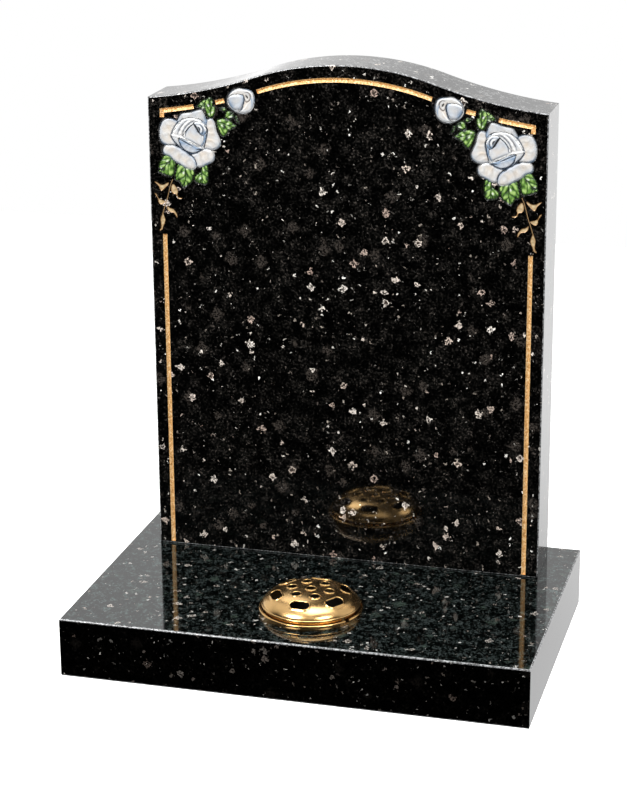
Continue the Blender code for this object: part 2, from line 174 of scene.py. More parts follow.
# Paint: colours of 0 to 255 as a screen shows them, and the share of their light that the paint gives back
PAINT_LEVEL = 0.80
SCREEN_COLOURS = {
    "cream": (226, 224, 220),
    "peach": (222, 208, 190),
    "white": (246, 246, 244),
    "blue": (132, 160, 190),
    "deep": (44, 62, 82),
    "dark": (10, 14, 18),
    "brown": (96, 84, 76),
    "leaf_dark": (18, 44, 10),
    "leaf": (94, 138, 50),
    "leaf_light": (172, 204, 118),
    "tan": (240, 214, 168),
    "tan_dark": (168, 124, 72),
}

# Shapes of the spray in millimetres from the middle of the rose: x towards the tablet's middle, z up.
PETALS = {
    "left": [(-42.4, 8.7), (-40.7, 17.9), (-35.9, 25.1), (-28.6, 27.4), (-21.2, 26.0), (-16.3, 21.4),
        (-15.4, 10.4), (-17.7, -3.4), (-23.5, -9.3), (-32.7, -8.9), (-39.0, -5.7), (-42.1, 1.2)],
    "right": [(23.1, 26.5), (27.7, 29.1), (31.9, 28.8), (34.9, 24.2), (36.9, 13.9), (40.3, 5.8),
        (42.6, -1.6), (40.3, -8.0), (32.9, -12.3), (23.7, -12.6), (17.9, -6.8), (17.9, 10.4)],
    "top": [(-17.7, 22.5), (-14.3, 30.0), (-9.9, 34.8), (0.7, 36.6), (9.9, 39.7), (16.8, 40.6), (20.0, 36.3),
        (22.7, 29.4), (23.7, 23.1), (19.1, 15.0), (3.0, 12.7), (-12.0, 15.0)],
    "low_right": [(1.2, -20.8), (7.6, -18.3), (13.3, -12.9), (21.4, -12.0), (30.6, -14.6), (33.8, -18.9),
        (33.1, -25.2), (29.4, -29.2), (22.5, -32.7), (15.6, -36.1), (10.1, -36.1), (6.3, -30.9),
        (3.8, -25.2)],
    "low_left": [(-36.7, -11.4), (-31.5, -8.9), (-20.0, -9.7), (-10.8, -14.9), (-0.5, -21.2), (5.8, -27.5),
        (7.9, -34.4), (6.4, -39.0), (1.8, -40.7), (-7.4, -38.4), (-16.6, -33.2), (-23.5, -29.2),
        (-28.6, -24.6), (-36.1, -21.7), (-38.4, -17.1)],
    "cup_left": [(-24.8, 3.0), (-21.7, 10.4), (-15.4, 18.5), (-9.7, 25.6), (-0.5, 28.8), (8.7, 28.2),
        (16.5, 25.2), (14.2, 15.0), (5.0, 8.4), (-4.2, -2.5), (-9.8, -13.1), (-13.4, -12.1), (-20.7, -4.9)],
    "cup_right": [(9.9, 27.4), (17.9, 25.2), (23.1, 18.5), (24.1, 11.6), (22.2, 3.5), (20.4, -6.8),
        (17.9, -11.4), (12.2, -8.0), (7.6, 3.5), (7.6, 15.0)],
    "cup_low": [(-15.2, 0.8), (-10.8, 0.7), (-1.6, -3.4), (8.7, -8.5), (18.4, -12.0), (12.2, -15.8),
        (4.1, -18.5), (-3.9, -17.1), (-9.7, -13.7), (-13.7, -8.0)],
    "heart": [(-9.1, 3.5), (-6.2, 9.3), (-0.5, 16.2), (5.8, 21.0), (9.2, 17.0), (13.1, 11.3), (17.6, 9.2),
        (19.1, 1.2), (17.6, -6.8), (13.3, -8.0), (3.0, -3.9), (-3.9, -0.5)],
    "spiral": [(5.8, 21.4), (9.9, 24.1), (17.9, 22.4), (22.7, 16.2), (22.7, 10.4), (17.8, 6.4), (13.4, 9.4),
        (9.8, 15.0)],
}
BUD_BACK = [(52.6, 54.1), (54.3, 61.6), (59.9, 67.7), (68.5, 71.6), (74.5, 70.8), (82.0, 70.0), (87.8, 66.4),
    (90.3, 57.6), (88.6, 48.0), (84.3, 41.7), (76.8, 38.3), (68.3, 38.6), (59.7, 42.7), (54.5, 47.8)]
BUD_FRONT = [(54.1, 54.1), (55.6, 59.4), (61.0, 62.2), (68.5, 63.0), (73.7, 61.8), (75.4, 56.7),
    (74.2, 49.5), (69.6, 42.8), (62.7, 42.4), (57.0, 47.2)]
LEAF_SHAPES = [
    ([(10.1, 44.3), (13.3, 48.4), (17.9, 52.4), (22.8, 55.0), (25.5, 50.0), (24.5, 44.0), (21.6, 41.0),
        (16.8, 42.3)], (25.0, 44.0), (10.1, 45.0)),
    ([(21.6, 44.8), (22.0, 51.0), (24.8, 56.4), (31.1, 58.5), (33.4, 53.0), (33.1, 48.4), (36.1, 43.8),
        (35.7, 38.0), (34.9, 33.4), (30.6, 30.0), (26.5, 30.6), (23.4, 35.7)], (29.5, 30.0), (30.6, 58.5)),
    ([(36.9, 27.7), (43.8, 30.6), (48.9, 30.0), (55.8, 28.8), (59.3, 25.6), (65.0, 21.4), (59.3, 17.3),
        (53.5, 13.9), (51.8, 9.3), (46.6, 6.4), (42.6, 9.3), (40.3, 15.0), (37.7, 21.9)], (37.5, 25.0),
        (63.0, 18.5)),
    ([(51.8, 40.3), (57.0, 40.9), (61.6, 38.0), (60.4, 32.3), (55.8, 29.3), (49.5, 30.4), (49.5, 34.6)],
        (50.5, 31.0), (61.0, 40.0)),
    ([(40.3, 45.5), (49.3, 45.6), (51.8, 42.3), (47.6, 39.6)], (51.5, 42.3), (40.3, 45.5)),
    ([(61.6, 34.6), (65.0, 35.1), (67.9, 30.0), (69.6, 24.2), (65.6, 26.5)], (62.5, 34.0), (69.6, 24.2)),
    ([(-31.7, -20.5), (-38.6, -25.3), (-44.2, -35.5), (-43.6, -41.3), (-44.7, -45.3), (-39.6, -48.2),
        (-33.8, -49.9), (-26.9, -51.6), (-22.9, -47.0), (-21.2, -40.1), (-20.7, -30.1), (-25.9, -24.6)],
        (-25.0, -26.0), (-42.0, -47.0)),
    ([(13.3, -43.0), (15.9, -35.8), (21.9, -32.1), (24.8, -38.1), (25.0, -48.2), (24.6, -53.9),
        (21.4, -59.4), (14.5, -59.1), (8.7, -58.0), (5.3, -53.9), (6.4, -48.2)], (16.5, -34.0),
        (16.0, -60.5)),
    ([(-18.3, -34.4), (-12.0, -34.4), (-3.9, -37.5), (2.4, -38.7), (5.8, -44.7), (3.5, -50.5), (2.4, -56.2),
        (-2.8, -61.4), (-9.7, -65.4), (-13.1, -62.0), (-16.0, -57.4), (-21.2, -55.1), (-21.4, -46.2)],
        (-7.0, -36.0), (-9.0, -64.5)),
]
SPRIG_LEAVES = [
    [(-50.4, -59.0), (-46.4, -60.0), (-42.4, -62.2), (-37.4, -62.2), (-31.4, -59.0), (-30.9, -61.5),
        (-35.4, -66.5), (-40.4, -71.0), (-42.9, -69.5), (-44.9, -65.0)],
    [(-25.4, -61.0), (-21.9, -62.5), (-18.9, -67.0), (-17.9, -71.5), (-18.9, -75.0), (-16.9, -78.5),
        (-11.9, -79.5), (-14.4, -81.0), (-18.4, -80.0), (-20.9, -75.0), (-24.4, -74.0), (-27.4, -70.5),
        (-27.4, -65.5)],
    [(-50.9, -75.0), (-47.9, -76.0), (-45.7, -81.0), (-41.4, -83.2), (-35.9, -85.0), (-36.4, -86.5),
        (-40.4, -89.5), (-43.9, -89.5), (-45.9, -86.5), (-46.6, -82.0)],
    [(-33.9, -91.0), (-30.4, -93.5), (-25.4, -95.0), (-22.4, -98.0), (-19.9, -102.5), (-19.9, -107.0),
        (-21.9, -104.0), (-24.9, -100.5), (-29.9, -99.5), (-33.4, -96.0)],
    [(-39.9, -100.5), (-38.4, -104.5), (-36.7, -110.5), (-37.7, -115.0), (-39.9, -120.0), (-41.4, -124.0),
        (-45.4, -126.0), (-43.0, -121.0), (-43.2, -115.0), (-43.4, -109.0), (-41.4, -104.0)],
]
SPRIG_STEM = [(-24.9, -55.0), (-27.9, -62.0), (-30.4, -71.0), (-33.4, -82.0), (-36.2, -90.0), (-38.7, -98.0),
    (-40.0, -101.5)]

# Brush strokes over the rose and the bud: path, half width, colour name, strength, depth added.
STROKES = [
    ([(-10.8, -15.4), (-16.0, -9.3), (-22.4, -3.6), (-26.2, 2.6), (-25.6, 6.6), (-22.4, 13.5), (-17.2, 21.0),
        (-8.4, 27.8)], 1.1, "deep", 0.95, 0.6),
    ([(-24.6, 3.4), (-23.6, 7.2), (-20.2, 13.4), (-15.0, 20.2), (-8.6, 25.4),
        (-1.0, 28.2)], 1.3, "white", 1.0, -0.3),
    ([(-17.0, 6.0), (-14.8, 11.4), (-10.4, 18.2), (-4.4, 23.4), (3.0, 26.0)], 1.0, "deep", 0.7, 0.4),
    ([(-14.6, 4.8), (-12.0, 10.6), (-8.0, 17.8), (-1.0, 24.6), (6.6, 28.6),
        (12.0, 28.0)], 1.2, "white", 1.0, -0.25),
    ([(-10.8, 4.2), (-8.8, 10.4), (-4.4, 17.4), (2.6, 23.4), (9.4, 25.6)], 0.9, "deep", 0.75, 0.4),
    ([(-8.4, 4.0), (-6.4, 9.8), (-1.6, 16.6), (4.6, 21.4)], 1.0, "white", 0.8, -0.15),
    ([(-6.4, 3.0), (-5.2, 9.4), (-0.6, 16.0), (5.2, 20.2)], 0.9, "deep", 0.95, 0.5),
    ([(7.6, 26.3), (13.3, 24.5), (18.6, 21.4), (22.0, 16.6), (22.8, 12.0)], 1.1, "white", 1.0, -0.25),
    ([(13.6, 21.2), (17.2, 18.6), (19.0, 14.6), (18.2, 9.8), (15.4, 6.8)], 0.9, "deep", 0.9, 0.4),
    ([(6.0, 21.6), (7.6, 18.8), (9.6, 15.6), (11.6, 12.0), (14.6, 7.8)], 1.7, "dark", 1.0, 0.8),
    ([(11.8, 17.4), (13.8, 15.2), (14.6, 12.4)], 1.1, "dark", 0.95, 0.4),
    ([(9.6, 19.6), (12.4, 18.8), (15.8, 16.4), (16.4, 12.6), (15.2, 10.0)], 0.8, "white", 1.0, -0.2),
    ([(20.4, 19.6), (23.5, 16.2), (24.5, 11.4), (23.2, 4.7), (21.2, -3.4),
        (18.9, -9.4)], 1.1, "deep", 1.0, 0.6),
    ([(21.2, 9.0), (20.8, 2.6), (18.6, -3.6), (15.0, -8.2)], 1.2, "blue", 0.8, 0.2),
    ([(-6.2, 1.2), (1.6, -1.8), (9.2, -5.4), (15.6, -8.4)], 1.0, "deep", 0.6, 0.3),
    ([(-26.2, 5.0), (-18.4, 3.6), (-12.0, 2.0), (-5.4, -0.6), (1.4, -3.8), (10.0, -8.2),
        (19.1, -12.0)], 1.7, "white", 1.0, -0.45),
    ([(-17.0, 0.6), (-12.5, -1.2), (-7.6, -3.6), (-2.0, -6.4), (4.4, -9.4)], 1.0, "dark", 0.9, 0.7),
    ([(8.6, -13.4), (12.3, -13.0), (17.2, -12.9)], 1.1, "dark", 0.9, 0.6),
    ([(-14.3, -4.5), (-12.2, -10.3), (-7.4, -15.1), (-1.6, -17.9), (3.5, -18.8), (9.3, -17.3), (13.9, -14.8),
        (17.9, -12.8)], 1.2, "deep", 1.0, 0.7),
    ([(0.7, -21.2), (5.3, -25.4), (7.9, -30.9), (8.2, -36.7)], 1.0, "deep", 0.8, 0.4),
    ([(-36.5, -9.8), (-28.0, -9.0), (-19.5, -9.4), (-13.0, -13.0)], 0.9, "deep", 0.7, 0.3),
    ([(68.5, 39.7), (72.5, 43.8), (74.9, 50.8), (76.2, 57.9), (74.2, 63.6)], 1.0, "deep", 1.0, 0.5),
    ([(76.8, 65.4), (81.8, 65.8), (84.8, 61.0), (83.2, 55.8), (79.0, 53.2),
        (76.8, 57.4)], 0.9, "brown", 0.95, 0.4),
    ([(78.6, 62.6), (79.6, 60.6), (81.0, 58.2)], 1.2, "dark", 1.0, 0.5),
    ([(80.6, 51.2), (77.2, 46.0), (73.2, 41.6)], 0.9, "white", 0.9, -0.2),
    ([(55.6, 60.6), (60.6, 65.6), (67.3, 68.4), (74.1, 68.6), (80.8, 67.9), (86.0, 64.6),
        (88.0, 59.2)], 0.9, "white", 0.9, -0.2),
    ([(86.4, 46.5), (86.8, 53.5), (84.6, 60.5)], 0.8, "blue", 0.8, 0.15),
]

# Petals from back to front: name, depth at the rim and at the crown, lean, and blue towards the heart.
PETAL_PLAN = [
    ("left", 3.2, 1.6, 0.5, 0.0),
    ("right", 3.2, 1.6, 0.5, 0.0),
    ("top", 3.2, 1.4, 0.5, 0.35),
    ("low_right", 3.3, 1.7, 0.4, 0.0),
    ("low_left", 3.1, 1.4, 0.3, 0.1),
    ("cup_right", 2.4, 1.5, 0.3, 0.3),
    ("cup_left", 2.3, 1.2, 0.4, 0.3),
    ("cup_low", 2.6, 1.8, 0.1, 1.1),
    ("heart", 2.0, 0.8, 0.1, 0.22),
    ("spiral", 1.6, 0.7, 0.1, 0.6),
]


def from_screen(values):
    """Linear light for a screen's colour values: a straight line near black and a power above it."""
    c = np.array(values, float) / 255
    return np.where(c <= 0.04045, c / 12.92, ((c + 0.055) / 1.055) ** 2.4)


PAINT = {name: from_screen(values) * PAINT_LEVEL for name, values in SCREEN_COLOURS.items()}


def smooth(low, high, value):
    """A soft step: 0 below low, 1 above high, and 3t*t - 2t*t*t between them."""
    t = np.clip((value - low) / (high - low), 0, 1)
    return t * t * (3 - 2 * t)


def toward(colour, other, share):
    """A colour moved towards another by a share of the way, place by place."""
    return colour + (other - colour) * share[..., None]


def circle(count):
    """Points evenly round a circle of radius 1, anticlockwise from +X."""
    turn = np.linspace(0, 2 * math.pi, count + 1)[:-1]
    return np.stack([np.cos(turn), np.sin(turn)], 1)


def crown_angle():
    """Slope where the crown's arc meets the shoulder's, found by halving the range that holds it."""
    reach = HALF_WIDTH * CROWN_SHARE
    low, high = SHOULDER_ANGLE, math.radians(60)
    for _ in range(60):
        middle = (low + high) / 2
        fall = reach * math.tan(middle / 2) + (HALF_WIDTH - reach) * math.tan((middle + SHOULDER_ANGLE) / 2)
        low, high = (middle, high) if fall < CROWN_RISE else (low, middle)
    return (low + high) / 2


CROWN_ANGLE = crown_angle()


def top_height(x, inset=0.0):
    """Height of the ogee above the shoulders, moved in by the inset.

    One arc runs over the crown; a second, hollow arc with the same slope at the join runs to the shoulder.
    """
    reach = HALF_WIDTH * CROWN_SHARE
    radius = reach / math.sin(CROWN_ANGLE)
    join = CROWN_RISE - radius + radius * math.cos(CROWN_ANGLE)
    hollow = math.hypot(HALF_WIDTH - reach, join) / (2 * math.sin((CROWN_ANGLE - SHOULDER_ANGLE) / 2))
    middle_x = reach + hollow * math.sin(CROWN_ANGLE)
    middle_z = join + hollow * math.cos(CROWN_ANGLE)
    x = np.abs(x)
    crown = CROWN_RISE - radius + np.sqrt(np.maximum((radius - inset) ** 2 - x * x, 0))
    shoulder = middle_z - np.sqrt(np.maximum((hollow + inset) ** 2 - (x - middle_x) ** 2, 0))
    return np.where(x <= (radius - inset) * math.sin(CROWN_ANGLE), crown, shoulder)


def tablet_ring(inset):
    """The tablet's outline moved in by the inset, anticlockwise: foot, right side, ogee, left side."""
    half = HALF_WIDTH - inset
    foot = inset - SHOULDER
    corner = float(top_height(half, inset))
    t = np.linspace(0, 1, SIDE_POINTS + 1)[:-1]
    across = np.linspace(half, -half, TOP_POINTS)
    return np.concatenate([
        np.stack([half * (2 * t - 1), np.full(SIDE_POINTS, foot)], 1),
        np.stack([np.full(SIDE_POINTS, half), foot + (corner - foot) * t], 1),
        np.stack([across, top_height(across, inset)], 1),
        np.stack([np.full(SIDE_POINTS - 1, -half), corner + (foot - corner) * t[1:]], 1),
    ])


def base_ring(inset):
    """The base's plan moved in by the inset, anticlockwise from its front left corner."""
    half, deep = BASE_WIDTH / 2 - inset, BASE_DEPTH / 2 - inset
    corners = np.array([(-half, -deep), (half, -deep), (half, deep), (-half, deep)])
    t = np.linspace(0, 1, BASE_SIDE_POINTS + 1)[:-1, None]
    return np.concatenate([a + (b - a) * t for a, b in zip(corners, np.roll(corners, -1, 0))])


class Patches:
    """Points, faces and their marks, gathered for one mesh."""

    def __init__(self):
        self.points, self.faces, self.slots, self.paint, self.gilt, self.rings = [], [], [], [], [], []
        self.count = 0

    def add(self, points, faces, slot=0, paint=None, gilt=None, ring=None):
        """Take in one patch: points in metres, faces by row of the points, and marks for each point."""
        n = len(points)
        self.points.append(points)
        self.faces += (np.asarray(faces) + self.count).tolist()
        self.slots += [slot] * len(faces)
        self.paint.append(np.zeros((n, 4)) if paint is None else paint)
        self.gilt.append(np.zeros(n) if gilt is None else gilt)
        self.rings.append(np.zeros(n, int) if ring is None else ring)
        self.count += n

    def mesh(self, name, finishes, angle=35):
        """One welded mesh with its faces turned outwards; steep edges and edges along a ring are sharp."""
        data = bpy.data.meshes.new(name)
        data.from_pydata(np.concatenate(self.points).tolist(), [], self.faces)
        data.polygons.foreach_set("material_index", self.slots)
        marks = [
            ("paint", "FLOAT_COLOR", "color", self.paint),
            ("gilt", "FLOAT", "value", self.gilt),
            ("ring", "INT", "value", self.rings),
        ]
        for mark, kind, field, values in marks:
            data.attributes.new(mark, kind, "POINT").data.foreach_set(field, np.concatenate(values).ravel())
        work = bmesh.new()
        work.from_mesh(data)
        bmesh.ops.remove_doubles(work, verts=work.verts, dist=WELD)
        bmesh.ops.dissolve_degenerate(work, edges=work.edges, dist=SMALLEST)
        bmesh.ops.recalc_face_normals(work, faces=work.faces)
        work.to_mesh(data)
        work.free()
        data.shade_smooth()
        data.set_sharp_from_angle(angle=math.radians(angle))
        ends = np.zeros(len(data.edges) * 2, int)
        data.edges.foreach_get("vertices", ends)
        ring = np.zeros(len(data.vertices), int)
        data.attributes["ring"].data.foreach_get("value", ring)
        first, second = ring[ends[0::2]], ring[ends[1::2]]
        sharp = np.zeros(len(data.edges), bool)
        data.attributes["sharp_edge"].data.foreach_get("value", sharp)
        sharp |= (first == second) & (first > 0)
        data.attributes["sharp_edge"].data.foreach_set("value", sharp)
        for finish in finishes:
            data.materials.append(finish)
        piece = bpy.data.objects.new(name, data)
        bpy.context.scene.collection.objects.link(piece)
        return piece


def strips(rows, columns, closed=False):
    """Faces of a grid of points stored row by row; closed joins its last column to its first."""
    index = np.arange(rows * columns).reshape(rows, columns)
    after = np.roll(index, -1, 1) if closed else index[:, 1:]
    index = index if closed else index[:, :-1]
    return np.stack([index[:-1], index[1:], after[1:], after[:-1]], -1).reshape(-1, 4)


def chain(start, count):
    """Pairs that join count points, from the given row, into a ring."""
    index = np.arange(start, start + count)
    return np.stack([index, np.roll(index, -1)], 1)


def fill(points, edges, keep):
    """Flat triangles between edges (constrained Delaunay), kept where the test holds at their middle."""
    made = delaunay_2d_cdt([Vector(p) for p in points.tolist()], edges.tolist(), [], 0, SMALLEST)
    corners = np.array([tuple(v) for v in made[0]])
    triangles = np.array(made[2])
    return corners, triangles[keep(corners[triangles].mean(1))]


def first_marked(corners, outline, mark):
    """The mark for the corners that are an outline's own points, the first in the list; 0 for the rest."""
    marks = np.zeros(len(corners), int)
    marks[:len(outline)] = mark
    return marks


def within(points, outline):
    """Whether points lie inside a closed outline: an odd number of edges crosses the line to their right."""
    a, b = outline, np.roll(outline, -1, 0)
    x, z = points[..., 0, None], points[..., 1, None]
    rise = np.where(b[:, 1] == a[:, 1], 1e-12, b[:, 1] - a[:, 1])
    crosses = ((a[:, 1] > z) != (b[:, 1] > z)) & (x < a[:, 0] + (z - a[:, 1]) * (b[:, 0] - a[:, 0]) / rise)
    return crosses.sum(-1) % 2 == 1


def edge_levels(depth, radius, steps):
    """Inset and depth down the edge of a slab: a quarter round, the straight side and a quarter round."""
    turn = np.linspace(0, math.pi / 2, steps + 1)
    near = np.stack([radius * (1 - np.sin(turn)), radius * (1 - np.cos(turn))], 1)
    return np.concatenate([near, np.stack([near[::-1, 0], depth - near[::-1, 1]], 1)])


def slab_edge(patches, ring, levels, place, steps, slot_side, slot_arris):
    """The side of a slab: its outline carried through the levels, the rounded arrises in their own finish.

    The rings where an arris begins and ends are numbered 1 to 4, so that they stay sharp.
    """
    rows = [ring(inset) for inset, _ in levels]
    n = len(rows[0])
    points = np.concatenate([place(row, np.full(n, depth)) for row, (_, depth) in zip(rows, levels)])
    marks = np.zeros(len(levels), int)
    marks[[0, steps, steps + 1, len(levels) - 1]] = (1, 2, 3, 4)
    faces = strips(len(levels), n, closed=True)
    flat = np.repeat(np.arange(len(levels) - 1), n) == steps
    patches.add(points, faces[flat], slot_side, ring=np.repeat(marks, n))
    patches.add(points, faces[~flat], slot_arris, ring=np.repeat(marks, n))


def rounded(points, steps=5, closed=True):
    """A curve through the points (Catmull-Rom: each stretch blends its four nearest points by cubics)."""
    p = np.array(points, float)
    if closed:
        near = [np.roll(p, 1, 0), p, np.roll(p, -1, 0), np.roll(p, -2, 0)]
    else:
        q = np.concatenate([2 * p[:1] - p[1:2], p, 2 * p[-1:] - p[-2:-1]])
        near = [q[:-3], q[1:-2], q[2:-1], q[3:]]
    a, b, c, d = (v[:, None] for v in near)
    t = np.linspace(0, 1, steps, endpoint=False)[None, :, None]
    bend, twist = 2 * a - 5 * b + 4 * c - d, 3 * b - a - 3 * c + d
    curve = (0.5 * (2 * b + (c - a) * t + bend * t ** 2 + twist * t ** 3)).reshape(-1, 2)
    return curve if closed else np.concatenate([curve, p[-1:]])


def path_distance(x, z, path, closed):
    """Distance from each grid point to the nearest stretch of a path, and the share of its length there."""
    a = path if closed else path[:-1]
    b = np.roll(path, -1, 0) if closed else path[1:]
    ex, ez = (b - a).T
    length = np.hypot(ex, ez)
    start = np.concatenate([[0], np.cumsum(length)[:-1]])
    wx, wz = x[..., None] - a[:, 0], z[..., None] - a[:, 1]
    t = np.clip((wx * ex + wz * ez) / np.maximum(length ** 2, 1e-12), 0, 1)
    gap = np.hypot(wx - t * ex, wz - t * ez)
    best = gap.argmin(-1)[..., None]
    along = np.take_along_axis(start + t * length, best, -1)[..., 0] / length.sum()
    return np.take_along_axis(gap, best, -1)[..., 0], along


def depth_within(x, z, outline):
    """Distance to a closed outline, above 0 inside and below 0 outside, and the share of its length there."""
    d, along = path_distance(x, z, outline, True)
    return np.where(within(np.stack([x, z], -1), outline), d, -d), along


def ripple(x, z, pitch, seed):
    """Soft uneven waves between -1 and 1: five sine waves in turned directions, near the given pitch."""
    total = 0
    for k in range(5):
        angle = seed * 1.7 + k * 2.399
        size = 2 * math.pi / (pitch * (0.7 + 0.17 * k))
        total = total + np.sin(size * (x * math.cos(angle) + z * math.sin(angle)) + seed * 3.1 + k * 1.3)
    return total / 3.2


class Relief:
    """Depth below the face, paint, cover and gilding of one spray: arrays over its grid in millimetres."""

    def __init__(self):
        self.xs = np.arange(SPRAY_X[0], SPRAY_X[1], CELL * 1000)
        self.zs = np.arange(SPRAY_Z[0], SPRAY_Z[1], CELL * 1000)
        self.x, self.z = np.meshgrid(self.xs, self.zs)
        self.depth = np.zeros(self.x.shape)
        self.cover = np.zeros(self.x.shape)
        self.gilt = np.zeros(self.x.shape)
        self.paint = np.zeros(self.x.shape + (3,))

    def window(self, path, margin=3.0):
        """The part of the grid round a path."""
        low, high = path.min(0) - margin, path.max(0) + margin
        columns = np.searchsorted(self.xs, (low[0], high[0]))
        rows = np.searchsorted(self.zs, (low[1], high[1]))
        return slice(*rows), slice(*columns)

    def lay(self, win, d, surface, tint, ground, gap):
        """Put one carved shape over what is there.

        Inside it is its own surface. Outside, a wall 1 mm wide falls to the ground, and dark paint covers the
        wall and the edge of what lies behind.
        """
        wall = smooth(-1.0, 0.0, d)
        depth, paint, cover = self.depth[win], self.paint[win], self.cover[win]
        behind = np.maximum(depth, ground * wall) + gap * wall * (cover > 0.5)
        self.depth[win] = np.where(d > 0, surface, behind)
        shade = 0.85 * smooth(-1.1, -0.1, d) * (cover > 0.02)
        edge = np.clip(d / 0.5 + 0.5, 0, 1)
        self.paint[win] = toward(toward(paint, PAINT["deep"] * 0.5, shade), tint, edge)
        self.cover[win] = np.maximum(cover, np.maximum(edge, smooth(-1.0, -0.6, d)))

    def petal(self, outline, rim, crown, lean, tone, seed):
        """A petal: deep at its rim, rising within 2 mm to its crown, leaning to the heart, with a curled lip.

        Creases are a sine of the angle about the heart. Blue fades with the distance from the rim, and tone
        adds more of it towards the heart.
        """
        outline = rounded(outline)
        win = self.window(outline)
        x, z = self.x[win], self.z[win]
        d, _ = depth_within(x, z, outline)
        middle = outline.mean(0)
        out = middle - CUP_MIDDLE
        out = out / max(np.hypot(*out), 1.0)
        side = (x - middle[0]) * out[0] + (z - middle[1]) * out[1]
        side = side / np.abs(side[d > 0]).max()
        turn = np.arctan2(z - HEART[1], x - HEART[0])
        far = smooth(8.0, 20.0, np.hypot(x - HEART[0], z - HEART[1]))
        crease = np.sin(turn * 17 + seed + 1.2 * ripple(x, z, 12, seed + 1)) * far
        surface = crown + (rim - crown) * np.exp(-(d / 1.8) ** 2) - lean * side
        surface = surface - 0.25 * np.exp(-((d - 1.6) / 0.9) ** 2) + 0.16 * crease * smooth(1.0, 5.0, d)
        mood = 0.5 + 0.5 * ripple(x, z, 22, seed)
        warm = np.clip(0.45 - 0.4 * side + 0.5 * ripple(x, z, 11, seed + 5), 0, 1)
        tint = toward(PAINT["cream"], PAINT["peach"], 0.8 * warm)
        inner = tone * smooth(0, 1, 0.6 - 0.5 * side) * (0.6 + 0.5 * mood)
        cold = np.clip(np.exp(-d / 3.2) * (0.35 + 0.65 * mood) + inner, 0, 1)
        tint = toward(tint, PAINT["blue"], 0.9 * cold)
        tint = toward(tint, PAINT["white"], np.exp(-((d - 0.7) / 0.6) ** 2) * smooth(0.3, 0.7, 1 - mood))
        fine = smooth(0.0, 1.0, np.sin(turn * 52 + 3 * ripple(x, z, 9, seed + 2))) * smooth(2.0, 6.0, d) * far
        streak = 1 - 0.13 * smooth(0.1, 1.0, -crease) * smooth(1.5, 5.0, d) - 0.05 * fine
        surface = np.clip(surface, 0.15, DEEPEST_PETAL)
        self.lay(win, d, surface, tint * streak[..., None], PETAL_GROUND, 0.5)

    def leaf(self, outline, base, tip, seed):
        """A leaf: a toothed edge, a grooved midrib and side veins with raised lobes between them.

        Lobes are a sine of the way along the leaf less the way across it; they are lit, and the veins dark.
        """
        curve = rounded(outline, 4)
        win = self.window(curve)
        x, z = self.x[win], self.z[win]
        d, along = depth_within(x, z, curve)
        teeth = max(8, round(len(curve) * 0.42))
        d = d - LEAF_TOOTH * (1 - np.abs(np.sin(along * math.pi * teeth)))
        axis = np.array(tip) - np.array(base)
        length = np.hypot(*axis)
        axis = axis / length
        u = ((x - base[0]) * axis[0] + (z - base[1]) * axis[1]) / length
        v = (-(x - base[0]) * axis[1] + (z - base[1]) * axis[0]) + 0.8 * np.sin(u * 3 + seed)
        veins = 2.6 if length > 20 else 1.6
        phase = veins * u - np.abs(v) / 8.5 + 0.16 * ripple(x, z, 11, seed) + 0.22 * (v > 0)
        lobe = np.abs(np.sin(math.pi * phase)) ** 0.7
        rib = np.exp(-(v / 0.75) ** 2)
        surface = 0.9 + 1.2 * np.exp(-(d / 1.1) ** 2) + 0.8 * (1 - lobe) + 0.55 * rib
        lit = lobe * (1 - 0.85 * rib) * smooth(-0.3, 2.2, d) * (0.72 + 0.5 * ripple(x, z, 9, seed + 3))
        lit = np.clip(lit, 0, 1)
        tint = toward(PAINT["leaf_dark"], PAINT["leaf"], smooth(0.08, 0.45, lit))
        tint = toward(tint, PAINT["leaf_light"], smooth(0.45, 0.95, lit))
        glint = smooth(0.80, 0.98, lobe) * np.exp(-((np.abs(v) - 2.6) / 1.3) ** 2)
        glint = glint * smooth(-0.1, 0.6, ripple(x, z, 7, seed + 8))
        tint = toward(tint, PAINT["white"], 0.85 * glint)
        self.lay(win, d, surface, tint, LEAF_GROUND, 0.4)

    def gild(self, path, half=None):
        """A shallow gilded cut: inside a closed outline, or within half a width of an open path."""
        closed = half is None
        curve = rounded(path, 5, closed)
        win = self.window(curve)
        x, z = self.x[win], self.z[win]
        d = depth_within(x, z, curve)[0] if closed else half - path_distance(x, z, curve, False)[0]
        edge = np.clip(d / 0.5 + 0.5, 0, 1)
        glow = smooth(0.1, 1.6, d) * (0.8 + 0.35 * ripple(x, z, 6, 3.0)) if closed else np.full(d.shape, 0.25)
        tint = toward(PAINT["tan_dark"], PAINT["tan"], glow)
        self.depth[win] = np.maximum(self.depth[win], SPRIG_DEPTH * smooth(-0.3, 0.9, d))
        self.paint[win] = toward(self.paint[win], tint, edge)
        self.cover[win] = np.maximum(self.cover[win], edge)
        self.gilt[win] = np.maximum(self.gilt[win], edge)

    def stroke(self, path, half, colour, strength, deeper):
        """A brush stroke that swells and tapers, with a slight cut or ridge, on what is painted already."""
        curve = rounded(path, 6, False)
        win = self.window(curve)
        d, along = path_distance(self.x[win], self.z[win], curve, False)
        swell = smooth(0, 0.25, along) * smooth(0, 0.25, 1 - along)
        weight = np.exp(-(d / (half * (0.45 + 0.55 * swell))) ** 3) * smooth(0, 0.08, along + 0.04)
        weight = weight * (self.cover[win] > 0.5)
        self.depth[win] = np.clip(self.depth[win] + deeper * weight, 0.1, DEEPEST_CUT)
        self.paint[win] = toward(self.paint[win], PAINT[colour], strength * weight)


